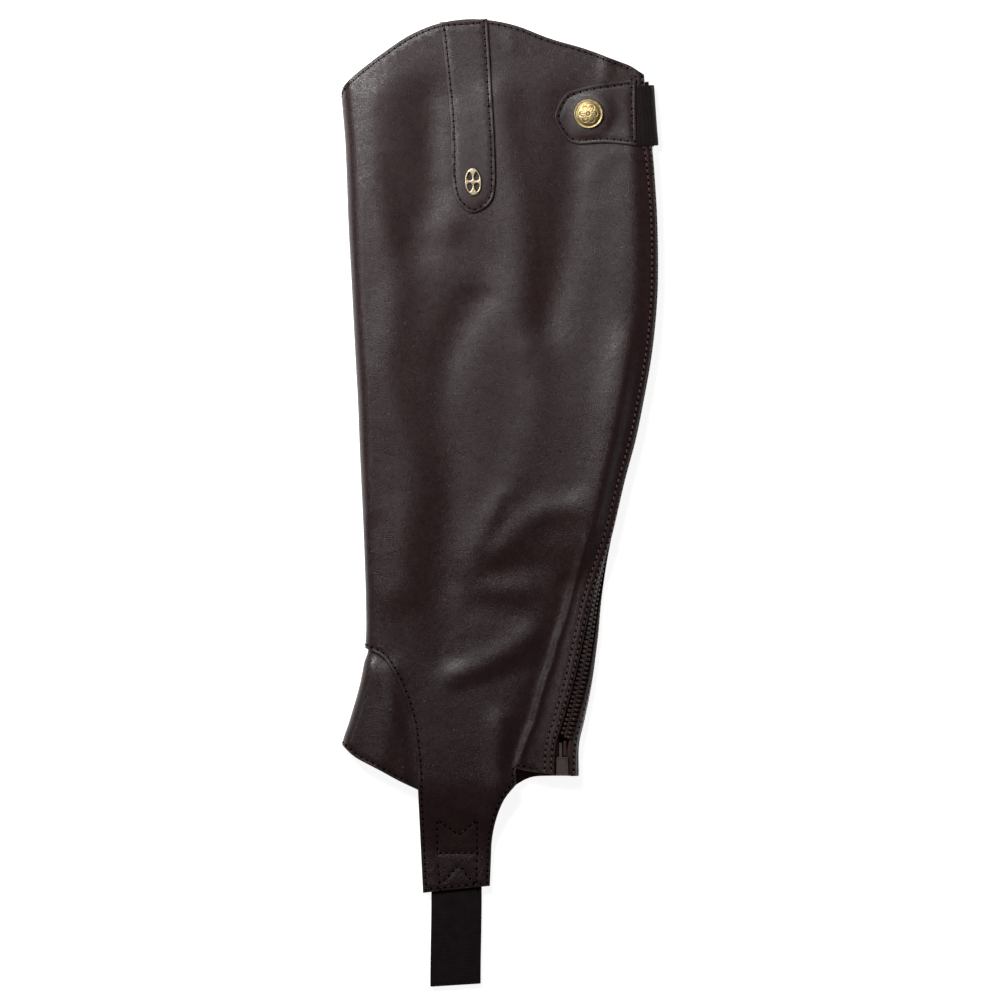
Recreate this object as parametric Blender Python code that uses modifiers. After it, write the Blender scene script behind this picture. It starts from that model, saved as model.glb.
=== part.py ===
"""A riding half chap: a leather gaiter for the lower leg, zipped shut and laid flat on its inner side.

The chap is drawn as its maker cuts it. Each leather piece is an outline on one pattern, and the pattern is
folded into a flat tube, over the front of the shin and round the zip at the back. On the pattern `run` is
the distance round the tube from the front fold, positive over the outer side, which faces up, and negative
under the inner side, which lies on the table. `y` is the place along the leg, and `lift` the height off
the leather's outer skin.

Lengths are in millimetres and are turned into metres where a mesh is made. X is across the chap, +Y points
to the top of the leg and +Z away from the table.
"""

import math
from typing import NamedTuple

import bmesh
import bpy
import numpy as np
from mathutils import Matrix, Vector
from mathutils.geometry import delaunay_2d_cdt

MM = 0.001

# leather, webbing and the air between pieces that touch
LEATHER = 1.4
VAMP_LEATHER = 1.3
TAB_LEATHER = 1.6
TAPE = 0.8
ELASTIC = 1.2
SEAM_GAP = 0.3
LAID_ON = 0.5
LAP = 8.0

# the flat tube: how thick it lies, the front fold, and the stiff flat of the zip at the back
DEPTH = 14.0
FRONT_ROLL = DEPTH / 2
QUARTER = math.pi / 2 * FRONT_ROLL
ZIP_FLAT = 7.4

# the foot tongue, where the two sides lie on the ends of the strap
TONGUE_DEPTH = 6.2
TONGUE_FROM = -158.0
TONGUE_TO = -204.0

# the zip, counted from the middle of its teeth
TEETH_HALF = 3.2
TEETH_TOP = -0.8
TEETH_DEEP = 2.4
TAPE_EDGE = TEETH_HALF + SEAM_GAP
TAPE_FAR = 14.0
TAPE_LIFT = -(LEATHER + 0.5)
LEATHER_EDGE = 4.8
TEETH_FROM = -136.0
PIN_FROM = -146.3
ZIP_BOTTOM = -157.4
PIN_TAPE_EDGE = 2.9
SLIDER_AT = 222.0
TAPE_TOP = 241.0

# the slider with its bridge and pull, and the box, post and pin at the foot of the zip
SLIDER_WIDE, SLIDER_LONG, PLATE = 7.2, 21.0, 1.0
LOW_PLATE = TEETH_TOP - TEETH_DEEP - 0.8
NECK_WIDE, NECK_LONG, NECK_AT = 2.4, 6.0, 7.0
BRIDGE_FOOT, BRIDGE_RISE, BRIDGE_ENDS = 1.6, 1.1, (-2.4, 5.8)
BRIDGE_WIDE, BRIDGE_LONG, BRIDGE_THICK, BRIDGE_TOP = 1.5, 9.8, 0.5, 1.6
PULL_THICK, PULL_LIFT = 0.5, 0.96
PULL_OUTLINE = ((-2.3, 4.0), (2.3, 4.0), (2.3, -16.0), (1.2, -17.5), (-1.2, -17.5), (-2.3, -16.0))
PULL_SLOT = ((-1.2, 2.6), (1.2, 2.6), (1.2, -4.6), (-1.2, -4.6))
BOX_WIDE, BOX_DEEP = 6.8, 2.8
PIN_WIDE, PIN_DEEP, PIN_ASIDE = 1.6, 2.0, 0.95

# places on the outer side
SNAP_AT = (51.8, 223.4)
SNAP_RADIUS = 8.6
CAP_PROFILE = ((0.0, 2.9), (3.0, 2.75), (5.6, 2.3), (6.9, 1.75), (7.3, 1.6), (7.8, 1.9), (8.4, 1.6),
               (8.6, 1.0), (8.4, 0.3), (7.8, 0.0), (0.0, 0.0))
STUD_HEIGHT, STUD_RADIUS, STUD_THICK, STUD_MIDDLE = 1.5, 5.0, 0.7, 0.75
BADGE_AT = (-15.0, 184.3)
BADGE_PLATE = 1.0
BADGE_HALVES = (4.9, 8.0)
DROP_HALVES = (1.25, 2.2)
DROP_ASIDE, DROP_ALONG = 2.0, 3.1

# the strap under the foot and the elastic of the closure
STRAP_MIDDLE, STRAP_HALF = -24.7, 14.5
STRAP_LOW, STRAP_FREE, STRAP_END, STRAP_LOOP = -208.0, -226.0, -277.0, 1.6
BAND_LAST = 6.2

# the pattern's grid of points
ROW_STEP = 11.0
COLUMN_STEP = 12.0
ROWS = range(-21, 27)
COLUMNS = range(-6, 7)
CLEAR_OF_EDGE = 3.2
CLEAR_OF_ZIP_EDGE = 1.2
OUTER_COLUMNS = (4.8, 6.6, 8.6, 11.0, 14.0)
INNER_COLUMNS = (4.8, 6.6, 8.6, 11.0, 14.0, 17.5, 21.0, 24.5)


class Section(NamedTuple):
    """The chap's outline at one place along the leg, and how far the zip there is tilted over the edge."""
    y: float
    front: float
    back: float
    zip_tilt: float


SECTIONS = (
    Section(y=-232.0, front=-91.7, back=45.7, zip_tilt=7.0),
    Section(y=-157.0, front=-91.7, back=45.7, zip_tilt=7.0),
    Section(y=-139.0, front=-91.2, back=45.9, zip_tilt=12.0),
    Section(y=-125.0, front=-86.8, back=48.9, zip_tilt=18.0),
    Section(y=-102.0, front=-80.4, back=53.5, zip_tilt=28.0),
    Section(y=-79.0, front=-77.0, back=56.5, zip_tilt=40.0),
    Section(y=-56.0, front=-76.9, back=58.6, zip_tilt=58.0),
    Section(y=-33.0, front=-77.6, back=62.1, zip_tilt=80.0),
    Section(y=-10.0, front=-78.5, back=67.1, zip_tilt=97.0),
    Section(y=13.0, front=-79.6, back=72.3, zip_tilt=106.0),
    Section(y=36.0, front=-80.6, back=78.4, zip_tilt=110.0),
    Section(y=59.0, front=-81.5, back=83.1, zip_tilt=110.0),
    Section(y=82.0, front=-82.8, back=87.2, zip_tilt=110.0),
    Section(y=105.0, front=-84.0, back=89.9, zip_tilt=110.0),
    Section(y=128.0, front=-85.2, back=91.2, zip_tilt=110.0),
    Section(y=162.0, front=-87.0, back=90.8, zip_tilt=110.0),
    Section(y=190.0, front=-88.0, back=89.2, zip_tilt=102.0),
    Section(y=208.0, front=-88.8, back=88.0, zip_tilt=84.0),
    Section(y=231.0, front=-90.7, back=86.5, zip_tilt=78.0),
    Section(y=246.0, front=-91.5, back=85.7, zip_tilt=76.0),
    Section(y=285.0, front=-91.5, back=85.5, zip_tilt=76.0),
)


class Fold(NamedTuple):
    """A soft ridge (height above 0) or trough along a path over the outer side."""
    name: str
    path: tuple
    reach: float
    height: float


FOLDS = (
    Fold("front crest", ((-72, 232), (-71, 180), (-66, 150), (-60, 125), (-62, 100), (-65, 75), (-60, 48),
                         (-53, 25), (-51, 5), (-55, -20), (-57, -50)), 11.5, 1.9),
    Fold("upper front hollow", ((-36, 232), (-37, 195), (-42, 165), (-45, 148)), 12, -1.9),
    Fold("dent under the tab", ((-20, 148), (-11, 136), (-10, 122)), 10, -1.2),
    Fold("lower front hollow", ((-16, 112), (-24, 100), (-31, 80), (-33, 60), (-30, 40), (-27, 18), (-27, -5),
                                (-31, -30), (-34, -60), (-32, -88)), 11, -1.7),
    Fold("middle crest", ((0, 232), (5, 200), (11, 172), (12, 140), (13, 112), (17, 92)), 11.5, 1.6),
    Fold("low middle crest", ((21, 74), (20, 50), (16, 32), (11, 18)), 10, 0.7),
    Fold("slanting ridge", ((3, 2), (-4, -10), (-10, -24), (-16, -40)), 8, 1.4),
    Fold("back hollow", ((42, 228), (41, 180), (37, 145), (32, 122), (26, 102)), 12, -1.7),
    Fold("calf crest", ((81, 200), (79, 150), (77, 115), (74, 92), (70, 68), (66, 46), (62, 20), (58, -4),
                        (52, -20)), 15, 2.1),
    Fold("calf swell", ((54, 50), (46, 10)), 46, 2.6),
    Fold("shelf above the ankle", ((44, -3), (28, -5), (17, -10), (8, -18), (0, -28)), 8, 1.4),
    Fold("ankle hollow", ((22, -36), (5, -39), (-10, -41), (-22, -43)), 8, -0.9),
    Fold("lower ankle hollow", ((-14, -60), (12, -64)), 8, -0.8),
    Fold("ankle ridge", ((-24, -99), (-15, -96), (-3, -90), (8, -84), (16, -77)), 7.5, 1.5),
    Fold("beside the crease", ((36, -50), (30, -100), (20, -145)), 20, -1.6),
    Fold("instep crest", ((-62, -98), (-62, -112), (-66, -137), (-68, -150)), 8, 1.7),
    Fold("tongue crest", ((0, -125), (0, -160), (-2, -178)), 7, 1.4),
)

CREASE = ((50, -22), (47, -33), (43, -46), (38, -66), (33, -80), (30, -92), (27, -100), (24, -110), (20, -125),
          (14, -140), (10, -153))
CREASE_REACH = 2.2
CREASE_HEIGHT = 1.2


# outlines on the outer side, as x and y, and on the inner side where it differs
TOP_HEM = ((75.5, 251.0), (63.5, 255.6), (48.0, 261.3), (29.0, 266.8), (7.5, 274.8), (-14.0, 278.0),
           (-34.0, 275.7), (-51.5, 268.8), (-68.7, 257.3), (-84.0, 245.3))
INNER_TOP = ((-80.0, 235.4), (0.0, 238.0), (70.0, 241.0))
TONGUE_BACK = ((9.5, -162.4), (2.6, -171.1), (-2.0, -182.6), (-4.3, -194.0), (-4.9, -205.6), (-5.5, -220.5))
TONGUE_FRONT = ((-44.0, -224.5), (-46.9, -165.3))
INNER_ARCH = ((9.5, -162.4), (17.5, -158.2), (28.5, -157.2))
VAMP_SEAM = ((-46.9, -165.3), (-47.4, -148.0), (-49.2, -133.7), (-54.9, -111.3), (-64.1, -92.9), (-70.5, -87.0))
SEAM_TOP = -83.7
VAMP_HEM = ((-46.9, -165.3), (-57.9, -160.1), (-69.5, -153.8), (-81.0, -147.8))
VAMP_TOE = -139.4
TOP_TAB_SIDES = ((-34.2, 276.2), (-31.0, 247.0), (-29.0, 227.4), (-27.9, 205.0), (-27.6, 187.0), (-25.0, 174.5),
                 (-16.4, 166.5), (-5.5, 171.6), (-2.3, 182.6), (-2.6, 205.0), (-3.7, 226.3), (-4.9, 247.0),
                 (-6.9, 278.2))
CLOSURE_TAB_END = ((44.3, 237.8), (37.1, 234.3), (31.9, 224.5), (31.9, 219.5), (37.1, 210.3), (44.3, 206.1))
CLOSURE_TAB_BACK = 78.5
CLOSURE_LOW = 205.0
CLOSURE_HIGH = 239.8


def through(stations, values, at):
    """Reads a smooth curve through the values at their rising stations."""
    last = len(stations) - 1
    at = min(max(at, stations[0]), stations[last])
    i = min(max(int(np.searchsorted(stations, at)) - 1, 0), last - 1)

    def slope(k):
        low, high = max(k - 1, 0), min(k + 1, last)
        return (values[high] - values[low]) / (stations[high] - stations[low])

    span = stations[i + 1] - stations[i]
    t = (at - stations[i]) / span
    return ((2 * t**3 - 3 * t**2 + 1) * values[i] + (t**3 - 2 * t**2 + t) * span * slope(i)
            + (3 * t**2 - 2 * t**3) * values[i + 1] + (t**3 - t**2) * span * slope(i + 1))


STATIONS = [row.y for row in SECTIONS]


def edge_of(column, y):
    return through(STATIONS, [getattr(row, column) for row in SECTIONS], y)


def eased(t):
    """Goes smoothly from 0 to 1 as t does."""
    t = min(max(t, 0.0), 1.0)
    return t * t * (3 - 2 * t)


class Ring(NamedTuple):
    """One section of the flat tube: where its straight and bent stretches begin."""
    front: float
    tilt: float
    roll: float
    top_end: float
    under_end: float
    top_run: float
    out_run: float
    in_run: float


def ring(y):
    """Lays out the section at y. The zip's flat tilts over the back edge between two equal bends."""
    front, back, tilt = edge_of("front", y), edge_of("back", y), math.radians(edge_of("zip_tilt", y))
    roll = (DEPTH - ZIP_FLAT * math.sin(tilt)) / 2
    top_end = back - roll - max(0.0, ZIP_FLAT * math.cos(tilt))
    under_end = top_end + ZIP_FLAT * math.cos(tilt)
    top_run = QUARTER + top_end - front - FRONT_ROLL
    under_run = QUARTER + under_end - front - FRONT_ROLL
    return Ring(front, tilt, roll, top_end, under_end, top_run,
                top_run + roll * tilt + ZIP_FLAT / 2, under_run + roll * (math.pi - tilt) + ZIP_FLAT / 2)


def distance_to(path, x, y):
    """Distance from a point to a path of straight stretches."""
    best = 1e9
    for (ax, ay), (bx, by) in zip(path, path[1:]):
        dx, dy = bx - ax, by - ay
        t = min(max(((x - ax) * dx + (y - ay) * dy) / (dx * dx + dy * dy), 0.0), 1.0)
        best = min(best, math.hypot(x - ax - t * dx, y - ay - t * dy))
    return best


def relief(x, y):
    """How far the outer side's folds stand above or below its level."""
    height = sum(fold.height * math.exp(-(distance_to(fold.path, x, y) / fold.reach)**2) for fold in FOLDS)
    return height + CREASE_HEIGHT * math.exp(-(distance_to(CREASE, x, y) / CREASE_REACH)**2)


def skin(run, y):
    """The point of the outer skin at a place on the pattern."""
    r = ring(y)
    if run > r.out_run:
        run = run - r.out_run - r.in_run
    side = 1.0 if run >= 0.0 else -1.0
    away = abs(run)
    if away < QUARTER:
        turn = away / FRONT_ROLL
        x = r.front + FRONT_ROLL * (1 - math.cos(turn))
        half = FRONT_ROLL * math.sin(turn)
        level = FRONT_ROLL + side * half
        fade = math.sin(turn)**2
    elif side > 0 and away < r.top_run:
        x, level, fade = r.front + FRONT_ROLL + away - QUARTER, DEPTH, 1.0
    elif side < 0 and away < r.in_run - ZIP_FLAT / 2 - r.roll * (math.pi - r.tilt):
        x, level, fade = r.front + FRONT_ROLL + away - QUARTER, 0.0, 0.0
    else:
        x, level = back_edge(r, away - r.top_run if side > 0 else None, r.in_run - away)
        fade = 0.0
    if side < 0:
        return Vector((x, y, level))
    fade *= eased((r.top_end - x) / 10.0)
    sunk = (DEPTH - TONGUE_DEPTH) * eased((y - TONGUE_FROM) / (TONGUE_TO - TONGUE_FROM))
    return Vector((x, y, level + relief(x, y) * fade - sunk))


def back_edge(r, past_top, before_zip):
    """A point of the back edge, counted from the end of the outer side's level or back from the zip."""
    if past_top is not None:
        if past_top < r.roll * r.tilt:
            turn = past_top / r.roll
            return r.top_end + r.roll * math.sin(turn), DEPTH - r.roll * (1 - math.cos(turn))
        on_flat = past_top - r.roll * r.tilt
    else:
        on_flat = before_zip + ZIP_FLAT / 2
    if on_flat <= ZIP_FLAT:
        x = r.top_end + r.roll * math.sin(r.tilt) + on_flat * math.cos(r.tilt)
        return x, DEPTH - r.roll * (1 - math.cos(r.tilt)) - on_flat * math.sin(r.tilt)
    turn = r.tilt + (on_flat - ZIP_FLAT) / r.roll
    return r.under_end + r.roll * math.sin(turn), r.roll * (1 + math.cos(turn))


def frame_at(run, y):
    """The skin's point with its directions across, along and outwards."""
    step = 0.5
    across = (skin(run + step, y) - skin(run - step, y)).normalized()
    along = (skin(run, y + step) - skin(run, y - step)).normalized()
    out = across.cross(along).normalized()
    return skin(run, y), across, out.cross(across), out


def form(run, y, lift=0.0):
    point, _, _, out = frame_at(run, y)
    return point + out * lift


def over(x, y):
    """The pattern's place for a point seen at x on the outer side."""
    r = ring(y)
    if x < r.front + FRONT_ROLL:
        return FRONT_ROLL * math.acos(max(-1.0, 1 - (x - r.front) / FRONT_ROLL)), y
    return QUARTER + x - r.front - FRONT_ROLL, y


def under(x, y):
    """The same for the inner side, under the chap."""
    run, _ = over(x, y)
    return -run, y


def by_zip(across, y):
    """The pattern's place beside the zip: below 0 on the outer side, above 0 on the inner side."""
    r = ring(y)
    return (r.out_run + across, y) if across <= 0 else (-(r.in_run - across), y)


def over_zip(across, y):
    """As by_zip, but counted on from the outer side, for what passes over the teeth."""
    return ring(y).out_run + across, y


def curve(points, step=7.0):
    """A smooth line through points, without its last one."""
    padded = [points[0], *points, points[-1]]
    line = []
    for a, b, c, d in zip(padded, padded[1:], padded[2:], padded[3:]):
        pieces = max(1, round(math.dist(b, c) / step))
        for k in range(pieces):
            t = k / pieces
            line.append(tuple(0.5 * (2 * q + (r - p) * t + (2 * p - 5 * q + 4 * r - s) * t**2
                                     + (3 * q - p - 3 * r + s) * t**3) for p, q, r, s in zip(a, b, c, d)))
    return line


def straight(start, end, step=9.0):
    """A straight line on the pattern, without its last point."""
    pieces = max(1, round(math.dist(start, end) / step))
    return [(start[0] + (end[0] - start[0]) * k / pieces, start[1] + (end[1] - start[1]) * k / pieces)
            for k in range(pieces)]


def along_zip(across, start, end, place=by_zip):
    """A line that keeps its distance from the zip, with a point on each row of the grid."""
    low, high = min(start, end), max(start, end)
    first, last = math.ceil((low + 2) / ROW_STEP), math.floor((high - 2) / ROW_STEP)
    rows = [k * ROW_STEP for k in range(first, last + 1)]
    line = [place(across, y) for y in (low, *rows, high)]
    return line if end > start else line[::-1]


def grid_points():
    """Points that all the pieces share, so that layers follow each other: close where the leather bends."""
    points = []
    crease = [place for x, y in curve(CREASE, 9.0) for place in (over(x - 3, y), over(x, y), over(x + 3, y))]
    for row in ROWS:
        y = row * ROW_STEP
        r = ring(y)
        points += [(k * QUARTER / 3, y) for k in range(-3, 4)]
        points += [by_zip(-across, y) for across in OUTER_COLUMNS]
        points += [by_zip(across, y) for across in INNER_COLUMNS]
        for column in COLUMNS:
            x = column * COLUMN_STEP
            top, bottom = over(x, y), under(x, y)
            if QUARTER + 4 < top[0] < r.out_run - 18:
                points.append(top)
            if row % 2 == 0 and column % 2 == 0 and QUARTER + 4 < -bottom[0] < r.in_run - 28:
                points.append(bottom)
    points = np.array(points)
    far = [np.hypot(*(points - place).T) > CLEAR_OF_EDGE for place in crease]
    return np.vstack([points[np.logical_and.reduce(far)], crease])


def inside(points, outline, clear):
    """Says which points lie inside an outline, and clear of it."""
    ends = np.roll(outline, -1, axis=0)
    crossed = np.zeros(len(points), dtype=bool)
    nearest = np.full(len(points), 1e9)
    for (ax, ay), (bx, by) in zip(outline, ends):
        spans = (ay > points[:, 1]) != (by > points[:, 1])
        if ay != by:
            crossed ^= spans & (points[:, 0] < (bx - ax) * (points[:, 1] - ay) / (by - ay) + ax)
        stretch = np.array((bx - ax, by - ay))
        t = np.clip(((points - (ax, ay)) @ stretch) / max(stretch @ stretch, 1e-9), 0, 1)
        nearest = np.minimum(nearest, np.hypot(*(points - (ax, ay) - t[:, None] * stretch).T))
    return crossed, nearest > clear


def material(name, colour, roughness, metallic=0.0):
    made = bpy.data.materials.new(name)
    made.use_nodes = True
    shader = made.node_tree.nodes["Principled BSDF"]
    shader.inputs["Base Color"].default_value = (*colour, 1.0)
    shader.inputs["Roughness"].default_value = roughness
    shader.inputs["Metallic"].default_value = metallic
    made.diffuse_color = (*colour, 1.0)
    return made


def add_object(name, mesh, look):
    made = bpy.data.objects.new(name, mesh)
    mesh.materials.append(look)
    CHAP.objects.link(made)
    return made


def cut_piece(name, outline, thickness, look, lift=0.0, outward=False, extra=(), holes=(),
              clear=CLEAR_OF_EDGE):
    """Cuts a piece from the pattern, folds it to the chap's form and gives it its thickness."""
    outline = np.array(outline)
    candidates = np.vstack([GRID, extra]) if len(extra) else GRID
    within, far = inside(candidates, outline, clear)
    for hole in holes:
        in_hole, far_from_hole = inside(candidates, np.array(hole), clear)
        within, far = within & ~in_hole, far & far_from_hole
    points, edges = [], []
    for loop in (outline, *holes):
        first = len(points)
        points += [Vector(place) for place in loop]
        edges += [(first + k, first + (k + 1) % len(loop)) for k in range(len(loop))]
    points += [Vector(place) for place in candidates[within & far]]
    places, _, faces, *_ = delaunay_2d_cdt(points, edges, [], 2, 1e-4)
    lifted = lift if callable(lift) else lambda run, y: lift
    mesh = bpy.data.meshes.new(name)
    mesh.from_pydata([form(run, y, lifted(run, y)) * MM for run, y in places], [], faces)
    mesh.shade_smooth()
    made = add_object(name, mesh, look)
    wall = made.modifiers.new("thickness", "SOLIDIFY")
    wall.thickness = thickness * MM
    wall.offset = 1.0 if outward else -1.0
    return made


def box(size, place):
    """A block as a mesh under construction, in metres."""
    shape = bmesh.new()
    bmesh.ops.create_cube(shape, size=1.0)
    bmesh.ops.scale(shape, vec=size, verts=shape.verts)
    bmesh.ops.translate(shape, vec=place, verts=shape.verts)
    return shape


def stand_at(made, run, y):
    """Sets an object down with its X across, its Y along and its Z out of the skin."""
    point, across, along, out = frame_at(run, y)
    made.matrix_world = Matrix.Translation(point * MM) @ Matrix((across, along, out)).transposed().to_4x4()


def joined_blocks(name, blocks, look):
    """Joins blocks that meet, each given as a size and a place, into one body."""
    made = None
    for size, place in blocks:
        shape = box(Vector(size) * MM, Vector(place) * MM)
        mesh = bpy.data.meshes.new(name)
        shape.to_mesh(mesh)
        shape.free()
        if made is None:
            made = add_object(name, mesh, look)
            continue
        cutter = bpy.data.objects.new(name + "_block", mesh)
        cutter.hide_render = True
        cutter.display_type = "WIRE"
        CUTTERS.objects.link(cutter)
        join = made.modifiers.new("join", "BOOLEAN")
        join.operation = "UNION"
        join.object = cutter
    return made, [item.object for item in made.modifiers]


def leg_panel():
    """Wraps the outer side, the front of the shin and the inner side, with the foot tongue at both ends."""
    seam = [over(x, y) for x, y in VAMP_SEAM]
    inner_seam = [(-run, y) for run, y in seam]
    outline = along_zip(-LEATHER_EDGE, -156.6, 246.0)
    inner_back = by_zip(LEATHER_EDGE, 242.0)
    outline += curve([outline.pop(), by_zip(-9.0, 248.2), *(over(x, y) for x, y in TOP_HEM), (0.0, 235.2)])
    outline += curve([(0.0, 235.2), (-QUARTER, 235.0), *(under(x, y) for x, y in INNER_TOP), inner_back])
    outline += along_zip(LEATHER_EDGE, 242.0, ZIP_BOTTOM)
    outline += straight(outline.pop(), under(*INNER_ARCH[-1]))
    outline += curve([under(x, y) for x, y in reversed(INNER_ARCH)])
    outline += curve([under(x, y) for x, y in TONGUE_BACK])
    outline += straight(under(*TONGUE_BACK[-1]), under(*TONGUE_FRONT[0]))
    outline += straight(under(*TONGUE_FRONT[0]), under(*TONGUE_FRONT[1]))
    outline += curve([*inner_seam, (0.0, SEAM_TOP), *reversed(seam)])
    outline += straight(over(*TONGUE_FRONT[1]), over(*TONGUE_FRONT[0]))
    outline += straight(over(*TONGUE_FRONT[0]), over(*TONGUE_BACK[-1]))
    outline += curve([over(x, y) for x, y in reversed(TONGUE_BACK)])
    outline += straight(over(*TONGUE_BACK[0]), over(9.0, -152.8))
    outline += curve([over(9.0, -152.8), over(17.5, -154.4), by_zip(-LEATHER_EDGE, -156.6)])
    return cut_piece("leg_panel", outline, LEATHER, BROWN_LEATHER, clear=CLEAR_OF_ZIP_EDGE)


def beside(path, distance):
    """The middles of a path's stretches, moved to its left side."""
    moved = []
    for (ax, ay), (bx, by) in zip(path, path[1:]):
        length = math.hypot(bx - ax, by - ay)
        aside = distance / length
        moved.append(((ax + bx) / 2 - (by - ay) * aside, (ay + by) / 2 + (bx - ax) * aside))
    return moved


def vamp():
    """The instep piece: folded over the front of the foot, with its edge under the leg panel."""
    seam = [over(x, y) for x, y in VAMP_SEAM]
    arch = curve([*((-run, y) for run, y in seam), (0.0, SEAM_TOP), *reversed(seam)], 6.0) + [seam[0]]
    hem = [over(x, y) for x, y in VAMP_HEM]
    outline = [*beside(arch, LAP), (seam[0][0] + LAP, seam[0][1] - 0.4)]
    outline += curve([*hem, (0.0, VAMP_TOE), *((-run, y) for run, y in reversed(hem))], 7.0)
    outline += [(-seam[0][0], seam[0][1]), (-seam[0][0] - LAP, seam[0][1] - 0.4)]
    under_panel = -(LEATHER + 0.55)

    def lift(run, y):
        shown, _ = inside(np.array([(run, y)]), np.array(arch + [(0.0, -400.0)]), 0.0)
        rise = eased((distance_to(arch, run, y) - 1.5) / 7.0) if shown[0] else 0.0
        return under_panel + (LEATHER - 0.1) * rise

    ribs = [place for reach in (-1.3, -4.5, -8.5) for place in beside(arch, reach)]
    return cut_piece("vamp", outline, VAMP_LEATHER, BROWN_LEATHER, lift=lift, extra=ribs, clear=2.5)


def understrap():
    """The elastic that passes under the foot, folded flat between the two sides of the tongue."""
    def low_level(y):
        inside_tongue = LEATHER + SEAM_GAP + ELASTIC / 2
        return inside_tongue + (ELASTIC / 2 + 0.02 - inside_tongue) * eased((STRAP_FREE - y) / 18.0)

    def high_level(y):
        inside_tongue = TONGUE_DEPTH - LEATHER - SEAM_GAP - ELASTIC / 2
        loop_top = low_level(STRAP_END) + 2 * STRAP_LOOP
        return inside_tongue + (loop_top - inside_tongue) * eased((STRAP_FREE - y) / 40.0)

    rows = [STRAP_LOW + (STRAP_END + STRAP_LOOP - STRAP_LOW) * k / 9 for k in range(10)]
    path = [(y, low_level(y)) for y in rows]
    path += [(rows[-1] - STRAP_LOOP * math.sin(math.pi * k / 6),
              low_level(STRAP_END) + STRAP_LOOP * (1 - math.cos(math.pi * k / 6))) for k in range(1, 6)]
    path += [(y, high_level(y)) for y in reversed(rows)]
    mesh = bpy.data.meshes.new("understrap_elastic")
    points = []
    for y, z in path:
        free = eased((STRAP_FREE - y) / 50.0)
        for side in (-1, 0, 1):
            x = STRAP_MIDDLE + side * STRAP_HALF - 0.6 * free
            points.append(Vector((x, y + 0.9 * side * free, z)) * MM)
    faces = [(3 * k + c, 3 * k + c + 3, 3 * k + c + 4, 3 * k + c + 1)
             for k in range(len(path) - 1) for c in range(2)]
    mesh.from_pydata(points, [], faces)
    mesh.shade_smooth()
    made = add_object("understrap_elastic", mesh, BLACK_ELASTIC)
    wall = made.modifiers.new("thickness", "SOLIDIFY")
    wall.thickness = ELASTIC * MM
    wall.offset = 0.0
    return made


def top_tab():
    """The strap laid down the front of the raised top, rounded at its lower end."""
    sides = [over(x, y) for x, y in TOP_TAB_SIDES]
    outline = curve(sides, 6.0) + straight(sides[-1], sides[0], 6.0)
    return cut_piece("top_tab", outline, LEATHER, BROWN_LEATHER, lift=LAID_ON, outward=True)


def badge():
    """A plain oval ornament, pierced with four drops round a middle bar."""
    centre_run, centre_y = over(*BADGE_AT)

    def oval(halves, dx=0.0, dy=0.0, points=12):
        return [(centre_run + dx + halves[0] * math.cos(math.tau * k / points),
                 centre_y + dy + halves[1] * math.sin(math.tau * k / points)) for k in range(points)]

    holes = [oval(DROP_HALVES, dx, dy)
             for dx in (-DROP_ASIDE, DROP_ASIDE) for dy in (-DROP_ALONG, DROP_ALONG)]
    return cut_piece("badge", oval(BADGE_HALVES, points=32), BADGE_PLATE, PALE_GOLD, outward=True,
                     holes=holes, clear=0.6, lift=LAID_ON + LEATHER + SEAM_GAP)


def closure_tab():
    """The strap end that snaps shut over the top of the zip, raised to lie level under its cap."""
    centre, _, _, out = frame_at(*over(*SNAP_AT))
    level = centre + out * STUD_HEIGHT

    def lift(run, y):
        point = skin(run, y)
        away = (point - centre).length
        return LAID_ON + ((level - point).dot(out) - LAID_ON) * (1 - eased((away - SNAP_RADIUS - 1) / 6.0))

    corner_high = over(CLOSURE_TAB_BACK, 243.6)
    corner_low = over(CLOSURE_TAB_BACK, CLOSURE_LOW)
    end = [over(x, y) for x, y in CLOSURE_TAB_END]
    outline = curve([corner_high, over(56.1, 240.6), *end, over(61.2, 206.7), corner_low], 5.0)
    outline += straight(corner_low, corner_high, 9.0)
    rings = [over(SNAP_AT[0] + reach * math.cos(math.tau * k / 12),
                  SNAP_AT[1] + reach * math.sin(math.tau * k / 12))
             for reach in (STUD_RADIUS, SNAP_RADIUS + 1) for k in range(12)]
    return cut_piece("closure_tab", outline, TAB_LEATHER, BROWN_LEATHER, lift=lift, outward=True,
                     extra=rings, clear=2.0)


def closure_elastic():
    """The short elastic between the closure tab and the inner side. It passes over the zip's slider."""
    def lift(run, y):
        across = abs(run - ring(y).out_run)
        return LAID_ON + 1.7 * (1 - eased((across - 3.0) / 2.4))

    corner_high = over(CLOSURE_TAB_BACK + SEAM_GAP, CLOSURE_HIGH)
    corner_low = over(CLOSURE_TAB_BACK + SEAM_GAP, CLOSURE_LOW)
    outline = straight(corner_low, over_zip(BAND_LAST - 2.0, CLOSURE_LOW), 3.0)
    outline += [over_zip(BAND_LAST - 2.0, CLOSURE_LOW), over_zip(BAND_LAST - 0.6, CLOSURE_LOW + 0.6)]
    outline += along_zip(BAND_LAST, CLOSURE_LOW + 2.0, CLOSURE_HIGH, over_zip)
    outline += straight(outline.pop(), corner_high, 3.0)
    outline += straight(corner_high, corner_low, 6.0)
    ribs = [over_zip(across, CLOSURE_LOW + rise) for rise in (6.0, 12.0, 18.0, 24.0, 30.0)
            for across in (-7.2, -5.4, -4.2, -3.0, 0.0, 3.0, 4.2, 5.4)]
    return cut_piece("closure_elastic", outline, ELASTIC, BLACK_ELASTIC, lift=lift, outward=True,
                     extra=ribs, clear=1.2)


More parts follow.
